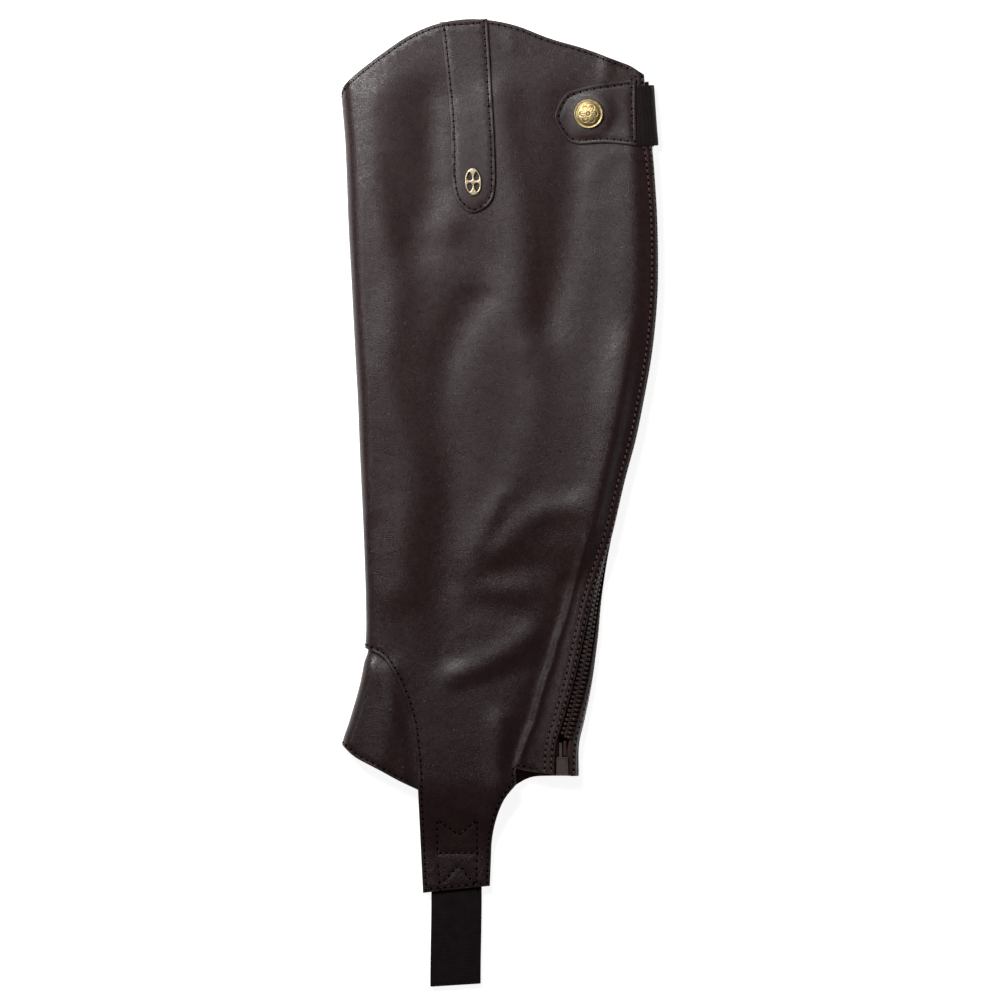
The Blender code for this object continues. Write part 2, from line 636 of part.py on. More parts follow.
def snap():
    """The press stud: a domed cap on the closure tab, and under the tab the stud that it shuts on."""
    mesh = bpy.data.meshes.new("snap_cap")
    mesh.from_pydata([Vector((radius, 0.0, height)) * MM for radius, height in CAP_PROFILE],
                     [(k, k + 1) for k in range(len(CAP_PROFILE) - 1)], [])
    cap = add_object("snap_cap", mesh, ANTIQUE_BRASS)
    turn = cap.modifiers.new("turned", "SCREW")
    turn.steps = turn.render_steps = 28
    turn.use_merge_vertices = True
    turn.merge_threshold = 0.00001
    stand_at(cap, *over(*SNAP_AT))
    cap_lift = (STUD_HEIGHT + TAB_LEATHER + SEAM_GAP) * MM
    cap.matrix_world = cap.matrix_world @ Matrix.Translation((0, 0, cap_lift))
    bpy.ops.mesh.primitive_cylinder_add(vertices=20, radius=STUD_RADIUS * MM, depth=STUD_THICK * MM)
    stud = bpy.context.object
    stud.name = stud.data.name = "snap_stud"
    stud.data.materials.append(ANTIQUE_BRASS)
    for owner in stud.users_collection:
        owner.objects.unlink(stud)
    CHAP.objects.link(stud)
    stand_at(stud, *over(*SNAP_AT))
    stud.matrix_world = stud.matrix_world @ Matrix.Translation((0, 0, STUD_MIDDLE * MM))


def zip_tapes():
    """The two woven tapes, sewn under the leather on each side of the teeth."""
    for name, side in (("zip_tape_outer", -1), ("zip_tape_inner", 1)):
        outline = along_zip(side * TAPE_EDGE, TEETH_FROM - 0.2, TAPE_TOP)
        outline += along_zip(side * TAPE_FAR, TAPE_TOP, ZIP_BOTTOM + 0.4)
        outline += along_zip(side * (TAPE_EDGE + 0.5), ZIP_BOTTOM + 0.4, PIN_FROM)
        outline += along_zip(side * PIN_TAPE_EDGE, PIN_FROM + 0.6, TEETH_FROM - 1.0)
        if side > 0:
            outline.reverse()
        cut_piece(name, outline, TAPE, DARK_TAPE, lift=TAPE_LIFT, clear=0.9)


def zip_chain():
    """The shut teeth as one flat bar."""
    top = SLIDER_AT + 1.0
    outline = along_zip(-TEETH_HALF, top, TEETH_FROM, over_zip)
    outline += along_zip(TEETH_HALF, TEETH_FROM, top, over_zip)
    cut_piece("zip_chain", outline, TEETH_DEEP, BROWN_TEETH, lift=TEETH_TOP)


def zip_slider():
    """The slider at the top of the shut zip, with its pull lying flat under the closure elastic."""
    plate = (SLIDER_WIDE, SLIDER_LONG, PLATE)
    foot = (BRIDGE_FOOT, BRIDGE_FOOT, BRIDGE_FOOT - 0.2)
    blocks = ((plate, (0, 0, 0)), (plate, (0, 0, LOW_PLATE)),
              ((NECK_WIDE, NECK_LONG, -LOW_PLATE), (0, NECK_AT, LOW_PLATE / 2)),
              *((foot, (0, end, BRIDGE_RISE)) for end in BRIDGE_ENDS),
              ((BRIDGE_WIDE, BRIDGE_LONG, BRIDGE_THICK), (0, sum(BRIDGE_ENDS) / 2, BRIDGE_TOP)))
    slider, cutters = joined_blocks("zip_slider", blocks, ANTIQUE_BRASS)
    for item in (slider, *cutters):
        stand_at(item, *by_zip(0.0, SLIDER_AT))
    outline = bpy.data.curves.new("zip_pull", "CURVE")
    outline.dimensions = "2D"
    outline.fill_mode = "BOTH"
    outline.extrude = PULL_THICK / 2 * MM
    for corners in (PULL_OUTLINE, PULL_SLOT):
        line = outline.splines.new("POLY")
        line.points.add(len(corners) - 1)
        for point, (x, y) in zip(line.points, corners):
            point.co = (x * MM, y * MM, 0.0, 1.0)
        line.use_cyclic_u = True
    drawn = bpy.data.objects.new("zip_pull_outline", outline)
    CHAP.objects.link(drawn)
    flat = bpy.data.meshes.new_from_object(drawn.evaluated_get(bpy.context.evaluated_depsgraph_get()))
    bpy.data.objects.remove(drawn)
    shape = bmesh.new()
    shape.from_mesh(flat)
    bmesh.ops.remove_doubles(shape, verts=shape.verts, dist=0.01 * MM)
    shape.to_mesh(flat)
    shape.free()
    flat.materials.clear()
    pull = add_object("zip_pull", flat, ANTIQUE_BRASS)
    stand_at(pull, *by_zip(0.0, SLIDER_AT))
    pull.matrix_world = pull.matrix_world @ Matrix.Translation((0, 0, PULL_LIFT * MM))


def zip_foot():
    """The box at the bottom of the zip with its fixed post, and beside that the pin that leaves it."""
    middle = (PIN_FROM + ZIP_BOTTOM) / 2 + 0.2
    pin_middle = (PIN_FROM + TEETH_FROM) / 2
    pin_length = TEETH_FROM - PIN_FROM - 0.5
    post_y = pin_middle - middle
    height = TEETH_TOP - TEETH_DEEP / 2
    blocks = (((BOX_WIDE, PIN_FROM - ZIP_BOTTOM - 0.6, BOX_DEEP), (0, 0, height)),
              ((PIN_WIDE, pin_length, PIN_DEEP), (-PIN_ASIDE, post_y - 2.0, height)))
    foot, cutters = joined_blocks("zip_box", blocks, ZIP_FILM)
    for item in (foot, *cutters):
        stand_at(item, *by_zip(0.0, middle))
    shape = box(Vector((PIN_WIDE, pin_length - 1.2, PIN_DEEP)) * MM, Vector((PIN_ASIDE, -0.4, height)) * MM)
    mesh = bpy.data.meshes.new("zip_pin")
    shape.to_mesh(mesh)
    shape.free()
    stand_at(add_object("zip_pin", mesh, BROWN_TEETH), *by_zip(0.0, pin_middle))


for leftover in list(bpy.data.objects):
    bpy.data.objects.remove(leftover)
CHAP = bpy.data.collections.new("half_chap")
CUTTERS = bpy.data.collections.new("cutters")
bpy.context.scene.collection.children.link(CHAP)
bpy.context.scene.collection.children.link(CUTTERS)

BROWN_LEATHER = material("brown_leather", (0.035, 0.024, 0.022), 0.42)
BLACK_ELASTIC = material("black_elastic", (0.012, 0.010, 0.011), 0.85)
DARK_TAPE = material("dark_tape", (0.02, 0.014, 0.013), 0.9)
BROWN_TEETH = material("brown_teeth", (0.06, 0.035, 0.03), 0.4)
ZIP_FILM = material("zip_film", (0.22, 0.19, 0.17), 0.35)
ANTIQUE_BRASS = material("antique_brass", (0.42, 0.32, 0.16), 0.35, 1.0)
PALE_GOLD = material("pale_gold", (0.62, 0.52, 0.36), 0.3, 1.0)

GRID = grid_points()

leg_panel()
vamp()
understrap()
top_tab()
badge()
closure_tab()
closure_elastic()
snap()
zip_tapes()
zip_chain()
zip_slider()
zip_foot()
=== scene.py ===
# %% [markdown]
# # A riding half chap, laid flat
# A half chap is a leather gaiter for a rider's lower leg. Its maker cuts one leg panel, wraps it over the
# shin and closes it at the back with a zip. A vamp covers the instep, a tongue runs down beside the heel,
# and an elastic strap passes under the foot. Here it is shut and laid on its inner side, seen from above.
#
# The solids of this object are already made. They are loaded as a fixed frame, and this script dresses them:
# finer folds, sewing, zip teeth, weave, metal and light.

# %% Load the frame
import math
from typing import NamedTuple

import bmesh
import bpy
import numpy as np
from mathutils import Matrix, Vector
from mathutils.geometry import delaunay_2d_cdt
from mathutils.kdtree import KDTree


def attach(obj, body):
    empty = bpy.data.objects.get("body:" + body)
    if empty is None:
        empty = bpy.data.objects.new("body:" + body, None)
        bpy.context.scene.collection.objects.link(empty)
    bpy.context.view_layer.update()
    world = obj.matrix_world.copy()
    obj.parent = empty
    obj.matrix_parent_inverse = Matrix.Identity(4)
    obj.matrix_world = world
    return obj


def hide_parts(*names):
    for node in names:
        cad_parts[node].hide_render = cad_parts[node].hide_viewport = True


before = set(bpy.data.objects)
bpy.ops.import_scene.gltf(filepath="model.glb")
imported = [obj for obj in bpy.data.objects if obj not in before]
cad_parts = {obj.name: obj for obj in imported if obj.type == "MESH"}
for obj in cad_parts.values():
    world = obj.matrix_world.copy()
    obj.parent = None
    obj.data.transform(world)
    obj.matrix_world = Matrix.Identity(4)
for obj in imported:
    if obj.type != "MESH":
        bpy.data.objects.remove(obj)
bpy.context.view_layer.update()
MM = 0.001


def placed(name, data):
    """Puts a mesh, a light or a camera into the scene."""
    made = bpy.data.objects.new(name, data)
    bpy.context.scene.collection.objects.link(made)
    return made


# %% [markdown]
# ## Camera
# The picture is taken from straight above, from far away, so the chap shows no perspective. An orthographic
# camera does the same. One pixel of the 1000 pixel frame is 0.575 mm of the table.

# %% Camera above the table
PIXEL = 0.575 * MM
FRAME_PIXELS = 1000
FRAME_MIDDLE = (0.3 * MM, 1.4 * MM)
CAMERA_HEIGHT = 1.5

camera = placed("camera", bpy.data.cameras.new("camera"))
camera.data.type = "ORTHO"
camera.data.ortho_scale = FRAME_PIXELS * PIXEL
camera.location = (*FRAME_MIDDLE, CAMERA_HEIGHT)
bpy.context.scene.camera = camera
bpy.context.scene.view_settings.view_transform = "Standard"
print("the frame shows", round(camera.data.ortho_scale, 3), "m of the table")

# %% [markdown]
# ## Table and light
# The leather is dark and satin, so its form shows by what it mirrors. One soft light, 40 cm wide, hangs close
# to the chap at the upper left: slopes that face it turn grey, and slopes that face away stay dark brown. All
# other light is weak. The table is a white light table. Its own glow keeps it white behind dark leather and
# opens the shadows, which a catalogue picture hardly shows.

# %% Table and lights
def soft_light(name, place, target, size, power):
    """An area light that looks at a point of the table, with sizes in metres and power in watts."""
    light = placed(name, bpy.data.lights.new(name, "AREA"))
    light.data.shape = "RECTANGLE"
    light.data.size, light.data.size_y = size
    light.data.energy = power
    light.location = place
    light.rotation_euler = (Vector(target) - Vector(place)).to_track_quat("-Z", "Y").to_euler()


soft_light("window", (-0.30, 0.42, 0.62), (-0.03, 0.10, 0.0), (0.40, 0.40), 5.6)
soft_light("fill_right", (1.5, -0.2, 1.2), (0.0, 0.0, 0.0), (1.4, 1.4), 0.25)
soft_light("fill_low", (-0.2, -1.7, 1.0), (0.0, -0.1, 0.0), (1.6, 0.9), 0.1)

world = bpy.data.worlds.new("studio")
world.use_nodes = True
world.node_tree.nodes["Background"].inputs["Color"].default_value = (1.0, 1.0, 1.0, 1.0)
world.node_tree.nodes["Background"].inputs["Strength"].default_value = 0.02
bpy.context.scene.world = world

TABLE_HALF, TABLE_LEVEL = 4, -0.2 * MM
table_mesh = bpy.data.meshes.new("table")
corners = [(x * TABLE_HALF, y * TABLE_HALF, TABLE_LEVEL) for x, y in ((-1, -1), (1, -1), (1, 1), (-1, 1))]
table_mesh.from_pydata(corners, [], [(0, 1, 2, 3)])
table = placed("table", table_mesh)
table_white = bpy.data.materials.new("table_white")
table_white.use_nodes = True
white = table_white.node_tree.nodes["Principled BSDF"].inputs
white["Base Color"].default_value = (0.92, 0.92, 0.92, 1.0)
white["Roughness"].default_value = 0.9
white["Emission Color"].default_value = (1.0, 1.0, 1.0, 1.0)
white["Emission Strength"].default_value = 0.9
table_mesh.materials.append(table_white)

# %% [markdown]
# ## The form of the chap
# All leather pieces lie on one folded tube, so its form is written once, as a rule. On the maker's flat
# pattern `run` is the distance round the tube from the front fold, positive over the outer side and negative
# under the inner side, and `y` is the place along the leg. `skin` gives the point in space, for whole arrays
# at a time. Lengths in the rules are millimetres.

# %% Sizes of the leather and of the tube
LEATHER = 1.4
VAMP_LEATHER = 1.3
TAB_LEATHER = 1.6
TAPE = 0.8
ELASTIC = 1.2
SEAM_GAP = 0.3
LAID_ON = 0.5
LAP = 8.0

DEPTH = 14.0
FRONT_ROLL = DEPTH / 2
QUARTER = math.pi / 2 * FRONT_ROLL
ZIP_FLAT = 7.4
TONGUE_DEPTH, TONGUE_FROM, TONGUE_TO = 6.2, -158.0, -204.0
FOLDS_FADE, INNER_FOLDS_FADE = 10.0, 14.0


class Section(NamedTuple):
    """The outline at one place along the leg, and by how many degrees the zip tilts over the back edge."""
    y: float
    front: float
    back: float
    zip_tilt: float


SECTIONS = [Section(*row) for row in (
    (-232.0, -91.7, 45.7, 7.0), (-157.0, -91.7, 45.7, 7.0), (-139.0, -91.2, 45.9, 12.0),
    (-125.0, -86.8, 48.9, 18.0), (-102.0, -80.4, 53.5, 28.0), (-79.0, -77.0, 56.5, 40.0),
    (-56.0, -76.9, 58.6, 58.0), (-33.0, -77.6, 62.1, 80.0), (-10.0, -78.5, 67.1, 97.0),
    (13.0, -79.6, 72.3, 106.0), (36.0, -80.6, 78.4, 110.0), (59.0, -81.5, 83.1, 110.0),
    (82.0, -82.8, 87.2, 110.0), (105.0, -84.0, 89.9, 110.0), (128.0, -85.2, 91.2, 110.0),
    (162.0, -87.0, 90.8, 110.0), (190.0, -88.0, 89.2, 102.0), (208.0, -88.8, 88.0, 84.0),
    (231.0, -90.7, 86.5, 78.0), (246.0, -91.5, 85.7, 76.0), (285.0, -91.5, 85.5, 76.0))]
print("sections along the leg:", len(SECTIONS))

# %% Sections of the tube
STATIONS = np.array([row.y for row in SECTIONS])


def through(values, at):
    """Reads a smooth curve through one column of the sections."""
    values = np.array(values)
    last = len(STATIONS) - 1
    at = np.clip(at, STATIONS[0], STATIONS[-1])
    i = np.clip(np.searchsorted(STATIONS, at) - 1, 0, last - 1)
    low, high = np.maximum(np.arange(last + 1) - 1, 0), np.minimum(np.arange(last + 1) + 1, last)
    slope = (values[high] - values[low]) / (STATIONS[high] - STATIONS[low])
    span = STATIONS[i + 1] - STATIONS[i]
    t = (at - STATIONS[i]) / span
    return ((2 * t**3 - 3 * t**2 + 1) * values[i] + (t**3 - 2 * t**2 + t) * span * slope[i]
            + (3 * t**2 - 2 * t**3) * values[i + 1] + (t**3 - t**2) * span * slope[i + 1])


def eased(t):
    """Goes smoothly from 0 to 1 as t does."""
    t = np.clip(t, 0.0, 1.0)
    return t * t * (3 - 2 * t)


class Ring(NamedTuple):
    """Where the straight and bent stretches of a section begin."""
    front: np.ndarray
    tilt: np.ndarray
    roll: np.ndarray
    top_end: np.ndarray
    under_end: np.ndarray
    top_run: np.ndarray
    out_run: np.ndarray
    in_run: np.ndarray


def ring(y):
    """Lays out the section at y. The zip's flat tilts over the back edge between two equal bends."""
    front = through([row.front for row in SECTIONS], y)
    back = through([row.back for row in SECTIONS], y)
    tilt = np.radians(through([row.zip_tilt for row in SECTIONS], y))
    roll = (DEPTH - ZIP_FLAT * np.sin(tilt)) / 2
    top_end = back - roll - np.maximum(0.0, ZIP_FLAT * np.cos(tilt))
    under_end = top_end + ZIP_FLAT * np.cos(tilt)
    top_run = QUARTER + top_end - front - FRONT_ROLL
    under_run = QUARTER + under_end - front - FRONT_ROLL
    return Ring(front, tilt, roll, top_end, under_end, top_run,
                top_run + roll * tilt + ZIP_FLAT / 2, under_run + roll * (math.pi - tilt) + ZIP_FLAT / 2)


print("round the calf at y 128 mm:", round(float(ring(128.0).out_run + ring(128.0).in_run)), "mm")

# %% [markdown]
# ## Folds
# A chap that has been folded and shipped keeps soft creases. Each is a path on the outer side with a reach
# and a height: ridges above 0, troughs below. The broad ones are in the solids too. The finer ones follow the
# light and dark patches of the picture, place by place, because a regular wave looks like a machine made it.

# %% Folds of the outer and inner side
class Fold(NamedTuple):
    """A soft ridge (height above 0) or trough along a path."""
    path: tuple
    reach: float
    height: float


BROAD_FOLDS = (
    Fold(((-72, 232), (-71, 180), (-66, 150), (-60, 125), (-62, 100), (-65, 75), (-60, 48), (-53, 25),
          (-51, 5), (-55, -20), (-57, -50)), 11.5, 1.9),
    Fold(((-36, 232), (-37, 195), (-42, 165), (-45, 148)), 12, -1.9),
    Fold(((-20, 148), (-11, 136), (-10, 122)), 10, -1.2),
    Fold(((-16, 112), (-24, 100), (-31, 80), (-33, 60), (-30, 40), (-27, 18), (-27, -5), (-31, -30),
          (-34, -60), (-32, -88)), 11, -1.7),
    Fold(((0, 232), (5, 200), (11, 172), (12, 140), (13, 112), (17, 92)), 11.5, 1.6),
    Fold(((21, 74), (20, 50), (16, 32), (11, 18)), 10, 0.7),
    Fold(((3, 2), (-4, -10), (-10, -24), (-16, -40)), 8, 1.4),
    Fold(((42, 228), (41, 180), (37, 145), (32, 122), (26, 102)), 12, -1.7),
    Fold(((81, 200), (79, 150), (77, 115), (74, 92), (70, 68), (66, 46), (62, 20), (58, -4), (52, -20)),
         15, 2.1),
    Fold(((54, 50), (46, 10)), 46, 2.6),
    Fold(((44, -3), (28, -5), (17, -10), (8, -18), (0, -28)), 8, 1.4),
    Fold(((22, -36), (5, -39), (-10, -41), (-22, -43)), 8, -0.9),
    Fold(((-14, -60), (12, -64)), 8, -0.8),
    Fold(((-24, -99), (-15, -96), (-3, -90), (8, -84), (16, -77)), 7.5, 1.5),
    Fold(((36, -50), (30, -100), (20, -145)), 20, -1.6),
    Fold(((-62, -98), (-62, -112), (-66, -137), (-68, -150)), 8, 1.7),
    Fold(((0, -125), (0, -160), (-2, -178)), 7, 1.4),
)
CREASE = ((50, -22), (47, -33), (43, -46), (38, -66), (33, -80), (30, -92), (27, -100), (24, -110),
          (20, -125), (14, -140), (10, -153))
SHARP_CREASE = Fold(CREASE, 2.2, 1.2)
FINE_FOLDS = (
    Fold(((6, 268), (8, 262)), 4, 0.4),
    Fold(((62, 258), (61, 244)), 4, 0.7),
    Fold(((64, 200), (52, 186)), 5, 0.2),
    Fold(((-44, 153), (-44, 145)), 9, 0.7),
    Fold(((74, 88), (70, 60), (66, 36), (62, 12), (57, -10)), 10, 1.2),
    Fold(((-60, 244), (-58, 205)), 10, 0.7),
    Fold(((-33, 236), (-32, 190)), 6, 0.5),
    Fold(((-14, 124), (-13, 114)), 8, 0.6),
    Fold(((-2, -130), (-2, -165)), 6, 0.8),
    Fold(((-18, -176), (-5, -183)), 4, 0.6),
    Fold(((5, 0), (3, -10), (-4, -20), (-11, -32)), 4, -0.5),
    Fold(((-8, -50), (17, -50)), 6, 0.6),
    Fold(((-74, -14), (-75, -84)), 6, -1.0),
    Fold(((-24, -108), (-2, -101), (16, -95)), 5, -0.4),
    Fold(((39, -46), (34, -66), (29, -80), (26, -92), (23, -100), (20, -110), (16, -125), (10, -140),
          (6, -153)), 5, -0.9),
)
INNER_FOLDS = (
    Fold(((-50, 215), (-44, 150), (-52, 90)), 14, 0.9),
    Fold(((20, 225), (14, 160), (28, 100)), 15, 1.0),
    Fold(((-20, 60), (-34, 10), (-30, -40)), 13, 0.9),
    Fold(((40, 40), (22, 0), (8, -40)), 10, 0.8),
    Fold(((-40, -100), (-10, -92), (16, -84)), 9, 0.7),
)


def distance_to(path, x, y):
    """Distance from points to a path of straight stretches."""
    best = np.full(np.shape(x), 1e9)
    for (ax, ay), (bx, by) in zip(path, path[1:]):
        dx, dy = bx - ax, by - ay
        t = np.clip(((x - ax) * dx + (y - ay) * dy) / (dx * dx + dy * dy), 0.0, 1.0)
        best = np.minimum(best, np.hypot(x - ax - t * dx, y - ay - t * dy))
    return best


def relief(folds, x, y):
    """How far the folds stand above or below the side's level."""
    return sum(fold.height * np.exp(-(distance_to(fold.path, x, y) / fold.reach)**2) for fold in folds)


print("folds:", len(BROAD_FOLDS) + 1, "broad,", len(FINE_FOLDS), "fine,", len(INNER_FOLDS), "inside")

# %% The skin and places on it
def back_edge(r, past_top, before_zip, outer):
    """Points of the back edge, counted from the end of the outer side's level or back from the zip."""
    bend = r.roll * r.tilt
    on_flat = np.where(outer, past_top - bend, before_zip + ZIP_FLAT / 2)
    high_turn = np.clip(past_top, 0, bend) / r.roll
    low_turn = r.tilt + np.maximum(on_flat - ZIP_FLAT, 0) / r.roll
    on_bend, on_zip = outer & (past_top < bend), on_flat <= ZIP_FLAT
    x = np.select([on_bend, on_zip], [r.top_end + r.roll * np.sin(high_turn),
                                      r.top_end + r.roll * np.sin(r.tilt) + on_flat * np.cos(r.tilt)],
                  r.under_end + r.roll * np.sin(low_turn))
    level = np.select([on_bend, on_zip], [DEPTH - r.roll * (1 - np.cos(high_turn)),
                                          DEPTH - r.roll * (1 - np.cos(r.tilt)) - on_flat * np.sin(r.tilt)],
                      r.roll * (1 + np.cos(low_turn)))
    return x, level


def skin(run, y):
    """The points of the outer skin at places on the pattern."""
    run, y = np.broadcast_arrays(np.asarray(run, float), np.asarray(y, float))
    r = ring(y)
    run = np.where(run > r.out_run, run - r.out_run - r.in_run, run)
    outer, away = run >= 0.0, np.abs(run)
    turn = np.minimum(away, QUARTER) / FRONT_ROLL
    x = r.front + FRONT_ROLL * (1 - np.cos(turn)) + np.maximum(away - QUARTER, 0)
    level = FRONT_ROLL + np.where(outer, 1, -1) * FRONT_ROLL * np.sin(turn)
    past_top, before_zip = away - r.top_run, r.in_run - away
    back = np.where(outer, past_top >= 0, before_zip <= ZIP_FLAT / 2 + r.roll * (math.pi - r.tilt))
    back_x, back_level = back_edge(r, past_top, before_zip, outer)
    x, level = np.where(back, back_x, x), np.where(back, back_level, level)
    fade = np.sin(turn)**2
    folds = relief((*BROAD_FOLDS, SHARP_CREASE, *FINE_FOLDS), x, y) * eased((r.top_end - x) / FOLDS_FADE)
    sunk = (DEPTH - TONGUE_DEPTH) * eased((y - TONGUE_FROM) / (TONGUE_TO - TONGUE_FROM))
    above = np.where(back, 0.0, folds * fade) - sunk
    inner_folds = relief(INNER_FOLDS, x, y) * eased((r.under_end - x) / INNER_FOLDS_FADE)
    below = np.where(back, 0.0, inner_folds * fade)
    return np.stack([x, y, level + np.where(outer, above, below)], axis=-1)


def unit(vectors):
    """The same directions with length 1."""
    return vectors / np.linalg.norm(vectors, axis=-1, keepdims=True)


def frame_at(run, y, step=0.5):
    """The skin's points with their directions across, along and outwards."""
    run, y = np.asarray(run, float), np.asarray(y, float)
    across = unit(skin(run + step, y) - skin(run - step, y))
    along = unit(skin(run, y + step) - skin(run, y - step))
    out = unit(np.cross(across, along))
    return skin(run, y), across, np.cross(out, across), out


def form(run, y, lift=0.0):
    """Points at a height off the skin."""
    point, _, _, out = frame_at(run, y)
    return point + out * np.expand_dims(np.broadcast_to(lift, np.shape(run)), -1)


def over(x, y):
    """The pattern's place for a point seen at x on the outer side."""
    r = ring(y)
    if x < r.front + FRONT_ROLL:
        return FRONT_ROLL * math.acos(max(-1.0, 1 - (x - float(r.front)) / FRONT_ROLL)), y
    return float(QUARTER + x - r.front - FRONT_ROLL), y


def under(x, y):
    """The same for the inner side, under the chap."""
    return -over(x, y)[0], y


def on_outer(places):
    """Pattern places for points seen on the outer side."""
    return [over(x, y) for x, y in places]


def on_inner(places):
    """The same for the inner side."""
    return [under(x, y) for x, y in places]


def by_zip(across, y):
    """The pattern's place beside the zip: below 0 on the outer side, above 0 on the inner side."""
    r = ring(y)
    return (float(r.out_run + across), y) if across <= 0 else (float(across - r.in_run), y)


def over_zip(across, y):
    """As by_zip, but counted on from the outer side, for what passes over the teeth."""
    return float(ring(y).out_run + across), y


sampled = skin(*np.meshgrid(np.arange(0, 180, 3.0), np.arange(-220, 270, 3.0)))
print("highest point of the skin:", round(float(sampled[..., 2].max()), 1), "mm")

# %% [markdown]
# ## Lines on the pattern
# Hems, seams and rows of stitches are all lines on the flat pattern. A few helpers draw them: a smooth curve
# through points, a straight line, a line that keeps its distance from the zip, and a line moved sideways.

# %% Lines on the pattern
def curve(points, step=3.0):
    """A smooth line through points."""
    padded = [points[0], *points, points[-1]]
    line = []
    for a, b, c, d in zip(padded, padded[1:], padded[2:], padded[3:]):
        pieces = max(1, round(math.dist(b, c) / step))
        for k in range(pieces):
            t = k / pieces
            line.append(tuple(0.5 * (2 * q + (r - p) * t + (2 * p - 5 * q + 4 * r - s) * t**2
                                     + (3 * q - p - 3 * r + s) * t**3) for p, q, r, s in zip(a, b, c, d)))
    return [*line, tuple(points[-1])]


def straight(start, end, step=3.0):
    """A straight line on the pattern."""
    pieces = max(1, round(math.dist(start, end) / step))
    return [(start[0] + (end[0] - start[0]) * k / pieces, start[1] + (end[1] - start[1]) * k / pieces)
            for k in range(pieces + 1)]


def along_zip(across, start, end, place=by_zip, step=3.0):
    """A line that keeps its distance from the zip."""
    pieces = max(1, round(abs(end - start) / step))
    return [place(across, start + (end - start) * k / pieces) for k in range(pieces + 1)]


def gone_along(line):
    """The way gone at each point of a line."""
    return np.concatenate([[0.0], np.cumsum(np.linalg.norm(np.diff(line, axis=0), axis=1))])


def beside(line, distance):
    """A line moved to its left."""
    line = np.array(line)
    ahead = unit(np.gradient(line, axis=0))
    return line + np.stack([-ahead[:, 1], ahead[:, 0]], axis=1) * distance


def area_of(loop):
    """The area in a loop, above 0 where it runs with its inside to the left."""
    ahead = np.roll(loop, -1, axis=0)
    return (loop[:, 0] * ahead[:, 1] - ahead[:, 0] * loop[:, 1]).sum() / 2


SAME_PLACE = 0.05


def closed(*lines):
    """Joins lines end to end into one loop that runs with its inside to the left."""
    loop = np.vstack([np.array(line) for line in lines])
    kept = np.linalg.norm(loop - np.roll(loop, 1, axis=0), axis=1) > SAME_PLACE
    loop = loop[kept]
    return loop if area_of(loop) > 0 else loop[::-1]


def inset(loop, distance):
    """A loop moved to its inside."""
    ahead = unit(np.roll(loop, -1, axis=0) - loop)
    behind = np.roll(ahead, 1, axis=0)
    side = unit(np.stack([-(ahead + behind)[:, 1], (ahead + behind)[:, 0]], axis=1))
    spread = np.maximum((side * np.stack([-ahead[:, 1], ahead[:, 0]], axis=1)).sum(axis=1), 0.5)
    return loop + side * (distance / spread)[:, None]


def inside(points, loop):
    """Says which points lie inside a loop, and how far each is from its line."""
    crossed, nearest = np.zeros(len(points), dtype=bool), np.full(len(points), 1e9)
    for (ax, ay), (bx, by) in zip(loop, np.roll(loop, -1, axis=0)):
        if ay != by:
            spans = (ay > points[:, 1]) != (by > points[:, 1])
            crossed ^= spans & (points[:, 0] < (bx - ax) * (points[:, 1] - ay) / (by - ay) + ax)
        stretch = np.array((bx - ax, by - ay))
        t = np.clip(((points - (ax, ay)) @ stretch) / max(stretch @ stretch, 1e-9), 0, 1)
        nearest = np.minimum(nearest, np.hypot(*(points - (ax, ay) - t[:, None] * stretch).T))
    return crossed, nearest


# Outlines on the outer side, as x and y, and on the inner side where it differs.
TOP_HEM = ((75.5, 251.0), (63.5, 255.6), (48.0, 261.3), (29.0, 266.8), (7.5, 274.8), (-14.0, 278.0),
           (-34.0, 275.7), (-51.5, 268.8), (-68.7, 257.3), (-84.0, 245.3))
INNER_TOP = ((-80.0, 235.4), (0.0, 238.0), (70.0, 241.0))
TONGUE_BACK = ((9.5, -162.4), (2.6, -171.1), (-2.0, -182.6), (-4.3, -194.0), (-4.9, -205.6), (-5.5, -220.5))
TONGUE_FRONT = ((-44.0, -224.5), (-46.9, -165.3))
INNER_ARCH = ((9.5, -162.4), (17.5, -158.2), (28.5, -157.2))
VAMP_SEAM = ((-46.9, -165.3), (-47.4, -148.0), (-49.2, -133.7), (-54.9, -111.3), (-64.1, -92.9),
             (-70.5, -87.0))
SEAM_TOP = -83.7
VAMP_HEM = ((-46.9, -165.3), (-57.9, -160.1), (-69.5, -153.8), (-81.0, -147.8))
VAMP_TOE = -139.4
LEATHER_EDGE = 4.8
ZIP_TOP, INNER_ZIP_TOP, ZIP_FOOT, ZIP_BOTTOM = 246.0, 242.0, -156.6, -157.4
FRONT_TOP, INNER_FRONT_TOP = (0.0, 235.2), (-QUARTER, 235.0)
OUTER_NOTCH = (9.0, -152.8)

top_hem = curve([by_zip(-LEATHER_EDGE, ZIP_TOP), by_zip(-9.0, 248.2), *on_outer(TOP_HEM), FRONT_TOP])
inner_hem = curve([FRONT_TOP, INNER_FRONT_TOP, *on_inner(INNER_TOP), by_zip(LEATHER_EDGE, INNER_ZIP_TOP)])
inner_arch = curve([by_zip(LEATHER_EDGE, ZIP_BOTTOM), *on_inner(reversed(INNER_ARCH))])
inner_tongue = curve(on_inner(TONGUE_BACK))
tongue = curve(on_outer(reversed(TONGUE_BACK)))
outer_arch = curve(on_outer((TONGUE_BACK[0], OUTER_NOTCH)))
outer_foot = curve([over(*OUTER_NOTCH), over(17.5, -154.4), by_zip(-LEATHER_EDGE, ZIP_FOOT)])
seam_side = on_outer(VAMP_SEAM)
vamp_seam = curve([*((-run, y) for run, y in seam_side), (0.0, SEAM_TOP), *reversed(seam_side)])
print("vamp seam:", round(float(gone_along(vamp_seam)[-1])), "mm round the instep")

